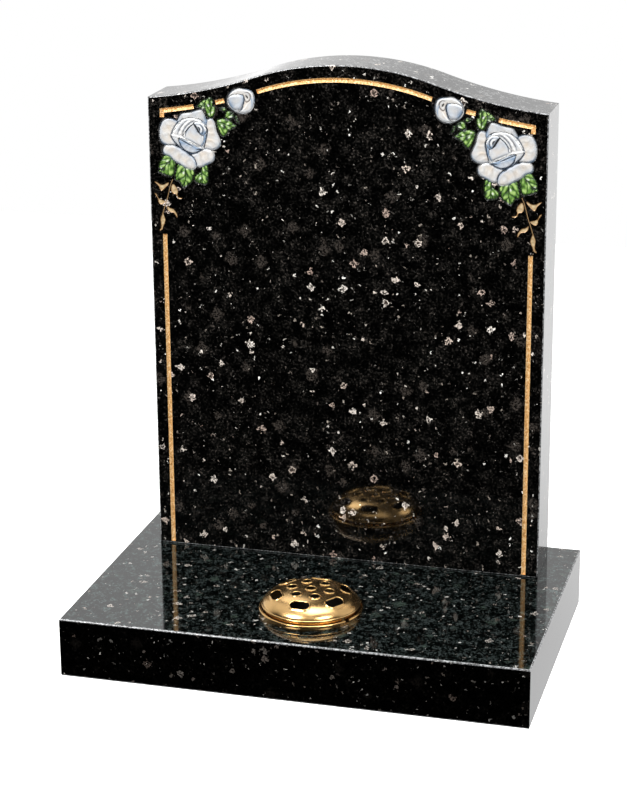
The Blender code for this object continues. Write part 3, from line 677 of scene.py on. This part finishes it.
def carve_spray():
    """The whole spray from back to front: leaves, petals, bud, gilded sprig and brush strokes."""
    relief = Relief()
    for k, (outline, base, tip) in enumerate(LEAF_SHAPES):
        relief.leaf(outline, base, tip, k * 1.9 + 0.4)
    for k, (name, rim, crown, lean, tone) in enumerate(PETAL_PLAN):
        relief.petal(PETALS[name], rim, crown, lean, tone, k * 2.3 + 1.0)
    relief.petal(BUD_BACK, 3.0, 1.4, 0.2, 0.05, 31.0)
    relief.petal(BUD_FRONT, 2.4, 0.8, 0.1, 0.5, 35.0)
    for path in SPRIG_LEAVES:
        relief.gild(path)
    relief.gild(SPRIG_STEM, STEM_HALF)
    for path, half, colour, strength, deeper in STROKES:
        relief.stroke(path, half, colour, strength, deeper)
    return relief


def line_paths():
    """Middle lines of the gilded cuts: the one over the crown, then those of the right half."""
    edge = HALF_WIDTH - LINE_INSET
    crown = np.linspace(-CROWN_LINE_HALF, CROWN_LINE_HALF, 61)
    short = np.linspace(*SHORT_LINE, 5)
    shoulder = np.linspace(SHOULDER_LINE_INNER, edge, 13)
    level = float(top_height(edge, LINE_INSET))
    rise = [np.stack([xs, top_height(xs, LINE_INSET)], 1) for xs in (crown, short, shoulder)]
    rise[2] = np.concatenate([rise[2], [(edge, level - LINE_LEG)]])
    return rise + [np.array([(edge, LINE_FOOT - SHOULDER), (edge, -LINE_SIDE_DROP)])]


def groove_sides(path):
    """Both edges of a cut, mitred: each point goes half a width along the mean of its two side directions."""
    steps = np.diff(path, axis=0)
    steps /= np.linalg.norm(steps, axis=1)[:, None]
    sides = np.stack([-steps[:, 1], steps[:, 0]], 1)
    before, after = np.concatenate([sides[:1], sides]), np.concatenate([sides, sides[-1:]])
    middle = before + after
    middle /= np.linalg.norm(middle, axis=1)[:, None]
    mitre = middle / (middle * before).sum(1)[:, None] * LINE_HALF
    return path + mitre, path - mitre


def on_face(flat, depth):
    """Flat x and height above the shoulders, with a depth behind the face, as points in space."""
    return np.stack([flat[:, 0], FACE_Y + depth, SHOULDER_Z + flat[:, 1]], 1)


def on_base(flat, depth):
    """Plan x and y, with a depth below the base's top, as points in space."""
    return np.stack([flat[:, 0], flat[:, 1], BASE_HEIGHT - depth], 1)


def widened(marked):
    """Marked grid points with their neighbours above, below, left and right."""
    wide = marked.copy()
    wide[1:] |= marked[:-1]
    wide[:-1] |= marked[1:]
    wide[:, 1:] |= marked[:, :-1]
    wide[:, :-1] |= marked[:, 1:]
    return wide


def cell_faces(cells, index):
    """Faces of the cells in use, and the edges between a cell in use and one that is not, by grid point."""
    faces = np.stack([index[:-1, :-1], index[:-1, 1:], index[1:, 1:], index[1:, :-1]], -1)[cells]
    padded = np.pad(cells, 1)
    upright = padded[1:-1, 1:] != padded[1:-1, :-1]
    level = padded[1:, 1:-1] != padded[:-1, 1:-1]
    border = np.concatenate([
        np.stack([index[:-1], index[1:]], -1)[upright],
        np.stack([index[:, :-1], index[:, 1:]], -1)[level],
    ])
    return faces, border


def make_tablet(stone, arris, gold):
    """The tablet in one closed mesh.

    The flat face lies round the V-cuts and both carved sprays, which are height fields over the grid. Rounded
    arrises, the sides and the back close it.
    """
    patches = Patches()
    relief = carve_spray()
    active = widened(widened((relief.depth > 1e-4) | (relief.cover > 0)))
    cells = active[:-1, :-1] | active[1:, :-1] | active[:-1, 1:] | active[1:, 1:]
    rows, columns = relief.x.shape
    quads, border = cell_faces(cells, np.arange(rows * columns).reshape(rows, columns))
    used, quads = np.unique(quads, return_inverse=True)
    quads = quads.reshape(-1, 4)
    across = relief.x.ravel() - (HALF_WIDTH - ROSE_IN) * 1000
    flat = np.stack([across, relief.z.ravel() - ROSE_DOWN * 1000], 1) / 1000
    paint = np.concatenate([relief.paint.reshape(-1, 3), relief.cover.reshape(-1, 1)], 1)[used]
    gilt = relief.gilt.ravel()[used]
    depth = relief.depth.ravel()[used] / 1000
    edge_rows, border = np.unique(border, return_inverse=True)
    border = border.reshape(-1, 2)
    points = [tablet_ring(ARRIS)]
    edges = [chain(0, len(points[0]))]
    count = len(points[0])
    for side in (1, -1):
        mirror = np.array([side, 1])
        patches.add(on_face(flat[used] * mirror, depth), quads[:, ::side], 0, paint, gilt)
        points.append(flat[edge_rows] * mirror)
        edges.append(border + count)
        count += len(edge_rows)
    outlines = []
    paths = line_paths()
    for path in [paths[0]] + [p * np.array([s, 1]) for p in paths[1:] for s in (1, -1)]:
        left, right = groove_sides(path)
        n = len(path)
        bottom = on_face(path, np.full(n, LINE_DEPTH))
        shown = np.concatenate([on_face(left, np.zeros(n)), bottom, on_face(right, np.zeros(n))])
        patches.add(shown, strips(3, n), 2)
        patches.add(shown, [(0, n, 2 * n), (n - 1, 2 * n - 1, 3 * n - 1)], 2)
        outlines.append(np.concatenate([left, right[::-1]]))
        points.append(outlines[-1])
        edges.append(chain(count, 2 * n))
        count += 2 * n
    step = CELL * 1000

    def plain(middles):
        """Whether a place on the face is outside every cut and both sprays."""
        inside = np.zeros(len(middles), bool)
        for outline in outlines:
            inside |= within(middles, outline)
        x = (HALF_WIDTH - ROSE_IN - np.abs(middles[:, 0])) * 1000 - SPRAY_X[0]
        z = (middles[:, 1] + ROSE_DOWN) * 1000 - SPRAY_Z[0]
        i, j = np.floor(z / step).astype(int), np.floor(x / step).astype(int)
        there = (i >= 0) & (i < rows - 1) & (j >= 0) & (j < columns - 1)
        inside[there] |= cells[i[there], j[there]]
        return ~inside & within(middles, points[0])

    corners, triangles = fill(np.concatenate(points), np.concatenate(edges), plain)
    ring = first_marked(corners, points[0], 1)
    patches.add(on_face(corners, np.zeros(len(corners))), triangles, 0, ring=ring)
    levels = edge_levels(THICKNESS, ARRIS, ARRIS_STEPS)
    slab_edge(patches, tablet_ring, levels, on_face, ARRIS_STEPS, 0, 1)
    back, triangles = fill(points[0], edges[0], lambda middles: within(middles, points[0]))
    ring = first_marked(back, points[0], 4)
    patches.add(on_face(back, np.full(len(back), THICKNESS)), triangles[:, ::-1], 0, ring=ring)
    return patches.mesh("tablet_stone", [stone, arris, gold])


def make_base(stone, arris, side):
    """The base slab: top and underside with the bore between them, rounded arrises, and sides in a darker
    copy of the stone, which is painted shade.
    """
    patches = Patches()
    levels = edge_levels(BASE_HEIGHT, BASE_ARRIS, ARRIS_STEPS)
    slab_edge(patches, base_ring, levels, on_base, ARRIS_STEPS, 2, 1)
    bore = circle(BORE_POINTS) * BORE + (0, CONTAINER_Y)
    outline = base_ring(BASE_ARRIS)
    edges = np.concatenate([chain(0, len(outline)), chain(len(outline), BORE_POINTS)])

    def stone_there(middles):
        """Whether a place in the plan is outside the bore and inside the outline."""
        return ~within(middles, bore) & within(middles, outline)

    corners, triangles = fill(np.concatenate([outline, bore]), edges, stone_there)
    for depth, mark, way in ((0.0, 1, 1), (BASE_HEIGHT, 4, -1)):
        ring = first_marked(corners, outline, mark)
        patches.add(on_base(corners, np.full(len(corners), depth)), triangles[:, ::way], ring=ring)
    wall = np.concatenate([on_base(bore, np.full(BORE_POINTS, depth)) for depth in (0.0, BASE_HEIGHT)])
    patches.add(wall, strips(2, BORE_POINTS, closed=True)[:, ::-1])
    return patches.mesh("base_stone", [stone, arris, side])


def cup_corner(radius, floor):
    """The bend from the cup's floor to its side, as three points of radius and height."""
    middle = (radius - CUP_BEND_MIDDLE, floor + CUP_BEND_MIDDLE)
    return [(radius - CUP_BEND, floor), middle, (radius, floor + CUP_BEND)]


def make_container(metal, shaded):
    """Cup, flange and rolled rim: a profile turned about the axis, near black inside with painted shade.

    In the notch the wall and the roll drop to the flange.
    """
    inner, roll_x = CUP_RADIUS - SHEET, RIM_RADIUS - ROLL
    foot = roll_x + SHEET / 2
    wall = foot - SHEET
    low = ROLL_HEIGHT - ROLL * 0.8
    angles = np.linspace(math.pi, 0, ROLL_POINTS)
    roll = np.stack([roll_x + ROLL * np.cos(angles), ROLL_HEIGHT + ROLL * np.sin(angles)], 1)
    inside = [(0, SHEET - CUP_DEPTH)] + cup_corner(inner, SHEET - CUP_DEPTH)
    inside += [(inner, FIT + SHEET), (wall, FIT + SHEET), (wall, low)]
    outside = [(foot, low), (foot, FIT), (CUP_RADIUS, FIT)]
    outside += cup_corner(CUP_RADIUS, -CUP_DEPTH)[::-1] + [(0, -CUP_DEPTH)]
    profile = np.concatenate([inside, roll, outside])
    half = NOTCH_WIDTH / 2 / RIM_RADIUS
    across = np.linspace(-half, half, NOTCH_POINTS)
    beyond = np.linspace(half, 2 * math.pi - half, CUP_POINTS)[1:-1]
    turns = np.concatenate([across[:1], across, across[-1:], beyond])
    cut = np.zeros(len(turns), bool)
    cut[1:1 + NOTCH_POINTS] = True
    turns = turns + NOTCH_ANGLE
    r = np.repeat(profile[:, :1], len(turns), 1)
    z = np.repeat(profile[:, 1:], len(turns), 1)
    floor = FIT + SHEET * 1.5
    upper = z > floor
    r = np.where(cut & upper, np.clip(r, wall, foot), r)
    z = np.where(cut & upper, floor, z)
    points = np.stack([r * np.cos(turns), CONTAINER_Y + r * np.sin(turns), BASE_HEIGHT + z], -1)
    points = points.reshape(-1, 3)
    patches = Patches()
    faces = strips(len(profile), len(turns), closed=True)
    # The faces inside the cup take the near-black finish, which is painted shade.
    dull = np.repeat(np.arange(len(profile) - 1), len(turns)) < len(inside) - 1
    patches.add(points, faces[dull], 1)
    patches.add(points, faces[~dull], 0)
    return patches.mesh("container_cup", [metal, shaded], 40)


def dome_height(r, edge, top, reach):
    """Height of the lid: edge + (top - edge) * (1 - (r / reach) ** 3.4) ** (1 / 1.4)."""
    return edge + (top - edge) * np.maximum(0, 1 - (r / reach) ** 3.4) ** (1 / 1.4)


def lid_openings():
    """Middle, turn and half straight length of every opening in the lid: seven round holes and six slots."""
    openings = [(0.0, 0.0, 0.0, 0.0)]
    slot = (SLOT_RING, SLOT_TURN, math.pi / 2, (SLOT_LENGTH - SLOT_WIDTH) / 2)
    for ring, first, more, straight in ((HOLE_RING, HOLE_TURN, 0.0, 0.0), slot):
        for k in range(6):
            a = first + k * math.pi / 3
            openings.append((ring * math.cos(a), ring * math.sin(a), a + more, straight))
    return openings


def opening_radius(straight):
    """Half the width of an opening: a slot where it has a straight part, else a round hole."""
    return SLOT_WIDTH / 2 if straight else HOLE_RADIUS


def opening_ring(x, y, turn, straight, radius):
    """A round or slot outline: a circle whose halves are moved apart along the turn."""
    a = np.linspace(0, 2 * math.pi, OPENING_POINTS, endpoint=False) + math.pi / OPENING_POINTS
    u = radius * np.cos(a) + np.sign(np.cos(a)) * straight
    v = radius * np.sin(a)
    across, along = math.cos(turn), math.sin(turn)
    return np.stack([x + u * across - v * along, y + u * along + v * across], 1)


def opening_gap(points, openings):
    """Distance to the nearest opening's edge: that to its straight middle line, less half its width."""
    best = np.full(len(points), 1.0)
    for x, y, turn, straight in openings:
        dx, dy = points[:, 0] - x, points[:, 1] - y
        u = dx * math.cos(turn) + dy * math.sin(turn)
        v = dy * math.cos(turn) - dx * math.sin(turn)
        gap = np.hypot(np.maximum(np.abs(u) - straight, 0), v) - opening_radius(straight)
        best = np.minimum(best, gap)
    return best


def lid_plan(openings):
    """The lid's plan in triangles, filled between rings round each opening and rings about the axis.

    The rings about the axis lie closer towards the edge and have more points there.
    """
    loops, edges, cuts, count = [], [], [], 0
    for x, y, turn, straight in openings:
        for offset in LIP_OFFSETS:
            loops.append(opening_ring(x, y, turn, straight, opening_radius(straight) + offset))
            edges.append(chain(count, OPENING_POINTS))
            count += OPENING_POINTS
        cuts.append(loops[-len(LIP_OFFSETS)])
    around = circle(LID_POINTS)
    outside = around * LID_RADIUS
    for radius in LID_RADIUS * (1 - (1 - np.linspace(0.05, 1, LID_RINGS)) ** 1.6)[:-1]:
        step = 4 if radius < 0.02 else 2 if radius < 0.045 else 1
        ring = around[::step] * radius
        ring = ring[opening_gap(ring, openings) > LIP_OFFSETS[-1] + LIP_CLEAR]
        loops.append(ring)
        count += len(ring)
    loops.append(outside)
    edges.append(chain(count, LID_POINTS))

    def metal_there(middles):
        """Whether a place in the plan is inside the edge and outside every opening."""
        kept = within(middles, outside)
        for cut in cuts:
            kept &= ~within(middles, cut)
        return kept

    plan, triangles = fill(np.concatenate(loops), np.concatenate(edges), metal_there)
    return plan, triangles, cuts


def make_lid(metal, shaded):
    """The lid: its plan lifted to the dome plus a pressed lip round each opening, with a skin under it in
    painted shade.

    The lip is a power of half a sine wave across its reach. A bead and a skirt turned about the axis close
    the edge.
    """
    openings = lid_openings()
    plan, triangles, cuts = lid_plan(openings)
    r = np.hypot(plan[:, 0], plan[:, 1])
    gap = np.maximum(opening_gap(plan, openings), 0)
    share = np.clip((gap + LIP_START) / (LIP_START + LIP_REACH), 0, 1)
    lip = LIP_HEIGHT * np.sin(share * math.pi) ** 1.5 * (gap < LIP_REACH)
    top = dome_height(r, LID_EDGE, LID_TOP, LID_RADIUS) + lip
    inner = LID_RADIUS - SHEET
    below = dome_height(np.minimum(r, inner), LID_EDGE, LID_TOP - SHEET, inner) + lip
    under = np.where(r > inner, LID_EDGE - SHEET, below)
    origin = np.array([0, CONTAINER_Y, BASE_HEIGHT])
    outer = np.column_stack([plan, top])
    skin = np.column_stack([plan * np.minimum(1, (inner / np.maximum(r, 1e-6)))[:, None], under])
    patches = Patches()
    patches.add(outer + origin, triangles)
    patches.add(skin + origin, triangles[:, ::-1], 1)
    for cut in cuts:
        order = [int(np.argmin(np.hypot(*(plan - p).T))) for p in cut]
        wall = np.concatenate([outer[order], skin[order]])
        patches.add(wall + origin, strips(2, len(order), closed=True)[:, ::-1])
    foot = FIT * 2 + SHEET
    a = np.linspace(math.pi / 2, -math.pi / 2, 7)
    bead = np.stack([LID_RADIUS + LID_BEAD * np.cos(a), LID_EDGE - LID_BEAD + LID_BEAD * np.sin(a)], 1)
    skirt = [(SKIRT_RADIUS, LID_EDGE - 2 * LID_BEAD - SKIRT_STEP), (SKIRT_RADIUS, foot)]
    side = np.concatenate([bead, skirt, [(SKIRT_RADIUS - SHEET, foot), (inner, LID_EDGE - SHEET)]])
    around = circle(LID_POINTS)
    points = [np.column_stack([around * radius, np.full(LID_POINTS, height)]) for radius, height in side]
    patches.add(np.concatenate(points) + origin, strips(len(side), LID_POINTS, closed=True)[:, ::-1])
    return patches.mesh("container_lid", [metal, shaded], 40)


class Nodes:
    """A node tree under way, with short calls that add a node and give its output."""

    def __init__(self, tree):
        self.tree = tree

    def add(self, kind, inputs=(), **settings):
        """A node with its settings; inputs are values or outputs of other nodes."""
        node = self.tree.nodes.new(kind)
        for key, value in settings.items():
            setattr(node, key, value)
        for key, value in dict(inputs).items():
            if isinstance(value, bpy.types.NodeSocket):
                self.tree.links.new(value, node.inputs[key])
            else:
                node.inputs[key].default_value = value
        return node

    def steps(self, value, low, high, to_low=0.0, to_high=1.0):
        """A soft step between two values."""
        span = {0: value, 1: low, 2: high, 3: to_low, 4: to_high}
        return self.add("ShaderNodeMapRange", span, interpolation_type="SMOOTHSTEP").outputs[0]

    def sum(self, kind, a, b=0.0):
        """One sum of two numbers."""
        return self.add("ShaderNodeMath", {0: a, 1: b}, operation=kind).outputs[0]

    def times(self, *values):
        """The product of several numbers."""
        product = values[0]
        for value in values[1:]:
            product = self.sum("MULTIPLY", product, value)
        return product

    def blend(self, share, a, b):
        """Two numbers mixed by a share."""
        return self.add("ShaderNodeMix", {0: share, 2: a, 3: b}).outputs[0]


class Finish(Nodes):
    """A material under way, with its shader and its place in object coordinates."""

    def __init__(self, name, **sockets):
        self.material = bpy.data.materials.new(name)
        self.material.use_nodes = True
        super().__init__(self.material.node_tree)
        self.shader = self.tree.nodes["Principled BSDF"]
        for key, value in sockets.items():
            self.shader.inputs[key.replace("_", " ")].default_value = value
        self.place = self.add("ShaderNodeTexCoord").outputs["Object"]

    def noise(self, scale, detail=2.0, place=None, rough=0.5):
        """Soft noise; the scale is in waves a metre."""
        inputs = {"Vector": place or self.place, "Scale": scale, "Detail": detail, "Roughness": rough}
        return self.add("ShaderNodeTexNoise", inputs).outputs["Fac"]

    def warped(self, scale, amount):
        """The place moved by coloured noise, by up to half the amount in metres."""
        noise = self.add("ShaderNodeTexNoise", {"Vector": self.place, "Scale": scale, "Detail": 2.0})
        halves = {0: noise.outputs["Color"], 1: (0.5, 0.5, 0.5)}
        centred = self.add("ShaderNodeVectorMath", halves, operation="SUBTRACT").outputs[0]
        scaled = self.add("ShaderNodeVectorMath", {0: centred, "Scale": amount}, operation="SCALE").outputs[0]
        return self.add("ShaderNodeVectorMath", {0: self.place, 1: scaled}).outputs[0]

    def flakes(self, scale, place, kept, small, large, soft):
        """Cells of which a share is kept, each a blunt flake of its own size.

        Gives its cover, how far a place is from its heart as a share of its reach, and its random hue.
        """
        inputs = {"Vector": place, "Scale": scale}
        node = self.add("ShaderNodeTexVoronoi", inputs, distance="MANHATTAN")
        pick, size, hue = self.add("ShaderNodeSeparateColor", {"Color": node.outputs["Color"]}).outputs
        far = node.outputs["Distance"]
        reach = self.steps(size, 0.0, 1.0, small, large)
        shown = self.steps(self.sum("SUBTRACT", reach, far), 0.0, soft)
        cover = self.times(shown, self.steps(pick, kept, kept + 0.01))
        return cover, self.sum("DIVIDE", far, reach), hue

    def mix(self, share, a, b, blend="MIX"):
        """Two colours mixed."""
        node = self.add("ShaderNodeMix", {"Factor": share}, data_type="RGBA", blend_type=blend)
        for key, value in ((6, a), (7, b)):
            if isinstance(value, bpy.types.NodeSocket):
                self.tree.links.new(value, node.inputs[key])
            else:
                node.inputs[key].default_value = (*value, 1.0)
        return node.outputs[2]

    def tinted(self, colour, tint):
        """A colour multiplied by another."""
        return self.mix(1.0, colour, tint, "MULTIPLY")

    def dimmed(self, colour, share):
        """A colour multiplied by a number."""
        return self.tinted(colour, self.mix(share, BLACK, WHITE))

    def ramp(self, value, stops):
        """A colour for each value, from stops of place and colour."""
        node = self.add("ShaderNodeValToRGB", {"Fac": value})
        ramp = node.color_ramp
        while len(ramp.elements) < len(stops):
            ramp.elements.new(0.5)
        for element, (place, colour) in zip(ramp.elements, stops):
            element.position = place
            element.color = (*colour, 1.0)
        return node.outputs["Color"]

    def wear(self, key, value):
        """Join an output to one of the shader's sockets."""
        self.tree.links.new(value, self.shader.inputs[key])

    def bump(self, height, strength, distance):
        """Fine relief from a height."""
        node = self.add("ShaderNodeBump", {"Height": height, "Strength": strength, "Distance": distance})
        self.wear("Normal", node.outputs["Normal"])


def scaled(colour, share):
    """A colour times a number, or times another colour."""
    return tuple(np.array(colour) * share)


def on_the_top(finish):
    """1 on the tablet's ogee top and 0 elsewhere: above the shoulders and clear of both faces."""
    place = finish.add("ShaderNodeSeparateXYZ", {"Vector": finish.place}).outputs
    half = THICKNESS / 2
    from_middle = finish.sum("ABSOLUTE", finish.sum("SUBTRACT", place["Y"], FACE_Y + half))
    between_faces = finish.steps(from_middle, half - 0.005, half - 0.002, 1.0, 0.0)
    return finish.times(between_faces, finish.steps(place["Z"], SHOULDER_Z - 0.004, SHOULDER_Z - 0.001))


def granite(name, tint=WHITE, light=1.0, glitter=1.0, painted=False, grey_share=0.0, rough=0.05, gleam=None):
    """Dark pearl granite: near black, with fine grain, dim crystals and bright, dark-hearted flakes.

    Tint and light act on the grain and the dim crystals, glitter on the bright flakes. Gleam is the colour of
    the grains that reflect as metal does, on the painted stone at its top alone. Painted stone needs a gleam
    and wears the marks paint and gilt. A share of light grey patches can be laid over an arris.
    """
    finish = Finish(name, Roughness=rough, IOR=STONE_IOR)
    body_light = scaled(tint, light)
    grain = finish.noise(330.0, 4.0, finish.warped(200.0, 0.004), 0.62)
    cloud = finish.noise(75.0, 3.0)
    level = finish.sum("ADD", grain, finish.times(finish.sum("SUBTRACT", cloud, 0.5), 0.45))
    colour = finish.tinted(finish.ramp(level, GRAIN), body_light)
    if gleam:
        shine = finish.steps(level, 0.575, 0.605, 0.0, 0.8)
        if painted:
            shine = finish.times(shine, on_the_top(finish))
        colour = finish.mix(shine, colour, gleam)
    bent = finish.warped(210.0, 0.011)
    dim, _, _ = finish.flakes(46.0, bent, 0.66, 0.25, 0.62, 0.22)
    fine = finish.steps(finish.noise(420.0, 4.0, rough=0.7), 0.40, 0.62)
    colour = finish.mix(finish.times(dim, fine, 0.9), colour, scaled(DIM_CRYSTAL, body_light))
    big, heart, hue = finish.flakes(70.0, bent, 0.78, 0.14, 0.50, 0.05)
    hollow = finish.times(finish.steps(heart, 0.35, 0.80, 1.0, 0.0), finish.steps(hue, 0.55, 0.65, 1.0, 0.35))
    bright = finish.mix(hollow, finish.ramp(hue, FLAKE), FLAKE_HEART)
    bright = finish.dimmed(bright, finish.steps(finish.noise(560.0, 3.0, rough=0.65), 0.40, 0.56, 0.06, 1.0))
    colour = finish.mix(big, colour, finish.tinted(bright, scaled(WHITE, glitter)))
    small, _, hue = finish.flakes(135.0, bent, 0.84, 0.14, 0.48, 0.06)
    speck = [(place, scaled(shade, glitter if place else 1.0)) for place, shade in SPECK]
    colour = finish.mix(small, colour, finish.ramp(hue, speck))
    tiny, _, hue = finish.flakes(270.0, bent, 0.84, 0.16, 0.48, 0.1)
    colour = finish.mix(tiny, colour, finish.ramp(hue, TINY_SPECK))
    # Patches of light grey laid over an arris, lightening the edge line.
    if grey_share:
        grey_patches = finish.steps(finish.noise(320.0, 4.0, rough=0.6), 0.42, 0.62, grey_share * 0.12, grey_share)
        colour = finish.mix(grey_patches, colour, ARRIS_GREY)
    if painted:
        paint = finish.add("ShaderNodeAttribute", attribute_name="paint").outputs
        gilt = finish.add("ShaderNodeAttribute", attribute_name="gilt").outputs["Fac"]
        brushed = finish.dimmed(paint["Color"], finish.steps(finish.noise(1500.0, 3.0), 0.3, 0.7, 0.9, 1.06))
        colour = finish.mix(paint["Alpha"], colour, brushed)
        finish.wear("Roughness", finish.steps(paint["Alpha"], 0.0, 1.0, rough, 0.42))
        finish.wear("Metallic", finish.sum("ADD", shine, finish.times(gilt, 0.35)))
        finish.bump(finish.times(finish.noise(1300.0, 3.0), paint["Alpha"]), 0.25, 0.0004)
    elif gleam:
        finish.wear("Metallic", shine)
    finish.wear("Base Color", colour)
    return finish.material


def gilding():
    """Gold leaf in the V-cuts: warm metal with small wrinkles and thin places."""
    finish = Finish("gilded_line", Metallic=0.3, Roughness=0.4)
    finish.wear("Base Color", finish.ramp(finish.noise(420.0, 3.0), GILDING))
    finish.wear("Roughness", finish.steps(finish.noise(600.0, 2.0), 0.3, 0.7, 0.28, 0.48))
    finish.bump(finish.noise(900.0, 3.0), 0.35, 0.0005)
    return finish.material


def gold_metal(name, colour, rough):
    """Satin gold-coloured aluminium: fine spun rings about the axis, faint stains, slightly uneven gloss."""
    finish = Finish(name, Metallic=1.0, Roughness=rough)
    stops = [(0.35, scaled(colour, 0.82)), (0.5, colour), (0.7, scaled(colour, 1.1))]
    finish.wear("Base Color", finish.ramp(finish.noise(45.0, 3.0), stops))
    finish.wear("Roughness", finish.steps(finish.noise(90.0, 2.0), 0.3, 0.7, rough * 0.92, rough * 1.12))
    shift = {"Vector": finish.place, "Location": (0, -CONTAINER_Y, 0)}
    centred = finish.add("ShaderNodeMapping", shift).outputs[0]
    spun = {"Vector": centred, "Scale": 700.0, "Distortion": 0.4, "Detail": 1.0}
    rings = finish.add("ShaderNodeTexWave", spun, wave_type="RINGS", rings_direction="Z")
    finish.bump(rings.outputs["Fac"], 0.02, 0.0001)
    return finish.material


def painted_shade_metal():
    """Painted shade for the inside of the container and the underside of the lid: dull, near black and
    faintly uneven.
    """
    finish = Finish("painted_shade_metal", Metallic=0.3, Roughness=0.6)
    finish.wear("Base Color", finish.ramp(finish.noise(120.0, 3.0), INSIDE_SHADE))
    return finish.material


def make_floor():
    """A wide, pale, faintly glowing floor that stays out of reflections and bounced light."""
    data = bpy.data.meshes.new("floor")
    corners = [(-1, -1), (1, -1), (1, 1), (-1, 1)]
    data.from_pydata([(FLOOR_HALF * x, FLOOR_HALF * y, 0) for x, y in corners], [], [(0, 1, 2, 3)])
    floor = bpy.data.objects.new("floor", data)
    bpy.context.scene.collection.objects.link(floor)
    look = {"Base_Color": (0.92, 0.92, 0.92, 1), "Emission_Color": (1, 1, 1, 1), "Emission_Strength": 0.8}
    data.materials.append(Finish("pale_floor", Roughness=0.9, **look).material)
    floor.visible_glossy = False
    floor.visible_diffuse = False


def make_world():
    """Light by direction: white behind and at the sides, dark in front; an even level on dull surfaces."""
    world = bpy.data.worlds.new("studio")
    bpy.context.scene.world = world
    world.use_nodes = True
    nodes = Nodes(world.node_tree)
    direction = nodes.add("ShaderNodeTexCoord").outputs["Generated"]
    _, y, z = nodes.add("ShaderNodeSeparateXYZ", {0: direction}).outputs
    behind = nodes.times(nodes.steps(z, -0.42, -0.30, 1.0, 1.5), nodes.steps(z, -0.05, 0.05, 1.0, 0.72))
    in_front = nodes.steps(z, 0.35, 0.9, 0.002, 0.5)
    level = nodes.blend(nodes.steps(y, -0.25, 0.15), in_front, behind)
    ray = nodes.add("ShaderNodeLightPath").outputs
    level = nodes.blend(ray["Is Diffuse Ray"], level, 0.30)
    shade = nodes.tree.nodes["Background"]
    nodes.tree.links.new(nodes.blend(ray["Is Camera Ray"], level, 1.0), shade.inputs["Strength"])
    shade.inputs["Color"].default_value = (1, 1, 1, 1)


def add_light(name, place, target, size, power):
    """A soft square light turned to its target."""
    data = bpy.data.lights.new(name, "AREA")
    data.size = size
    data.energy = power
    lamp = bpy.data.objects.new(name, data)
    lamp.location = place
    lamp.rotation_euler = (Vector(target) - Vector(place)).to_track_quat("-Z", "Y").to_euler()
    bpy.context.scene.collection.objects.link(lamp)


def make_camera():
    """The camera: 99 mm lens, 15.4 degrees to the right of the front, looking 17.3 degrees down."""
    turn, down, roll = CAMERA_ANGLES
    right = np.array([math.cos(turn), math.sin(turn), 0])
    level = math.cos(down)
    ahead = np.array([-math.sin(turn) * level, math.cos(turn) * level, -math.sin(down)])
    up = np.cross(right, ahead)
    right, up = math.cos(roll) * right + math.sin(roll) * up, math.cos(roll) * up - math.sin(roll) * right
    data = bpy.data.cameras.new("camera")
    data.sensor_width = SENSOR
    data.lens = FOCAL_PIXELS * SENSOR / FRAME_HEIGHT
    data.shift_y = -0.05
    data.clip_end = 50
    camera = bpy.data.objects.new("camera", data)
    place = Matrix([right, up, -ahead]).transposed().to_4x4()
    place.translation = CAMERA_PLACE
    camera.matrix_world = place
    bpy.context.scene.collection.objects.link(camera)
    bpy.context.scene.camera = camera


def main():
    """Make and place every piece, then the floor, the world, the lights and the camera."""
    bpy.context.scene.view_settings.view_transform = "Standard"
    stone = granite("pearl_granite", painted=True, gleam=(0.32, 0.32, 0.32))
    green = {"tint": (0.66, 1.12, 1.06), "gleam": (0.140, 0.174, 0.171)}
    base_stone = granite("pearl_granite_base", light=1.3, glitter=0.52, rough=0.06, **green)
    # Painted shade: the base's sides take the same granite made far darker, with dim flakes, as if they stood
    # in shadow.
    base_side_shade = granite("pearl_granite_side_shade", light=0.10, glitter=0.12)
    arris = granite("granite_arris", grey_share=0.5, rough=0.25)
    base_arris = granite("granite_base_arris", grey_share=0.5, rough=0.2)
    # Near black for the container's inside and the lid's underside: painted shade.
    shaded = painted_shade_metal()
    pieces = [
        (make_tablet(stone, arris, gilding()), "headstone_tablet", "granite"),
        (make_base(base_stone, base_arris, base_side_shade), "headstone_base", "granite"),
        (make_container(gold_metal("container_gold", (0.62, 0.38, 0.15), 0.22), shaded),
         "flower_container", "container_metal"),
        (make_lid(gold_metal("lid_gold", (0.62, 0.39, 0.16), 0.24), shaded), "flower_lid", "lid_metal"),
    ]
    for piece, node, slot in pieces:
        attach(piece, "root")
        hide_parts(node)
    make_floor()
    make_world()
    add_light("key", (-1.4, -2.2, 2.6), (0, 0, 0.4), 1.2, 142)
    add_light("fill", (1.8, -1.6, 2.2), (0, 0, 0.3), 1.0, 54)
    add_light("top", (0.2, 0.2, 2.8), (0, 0, 0), 1.6, 50)
    make_camera()


main()
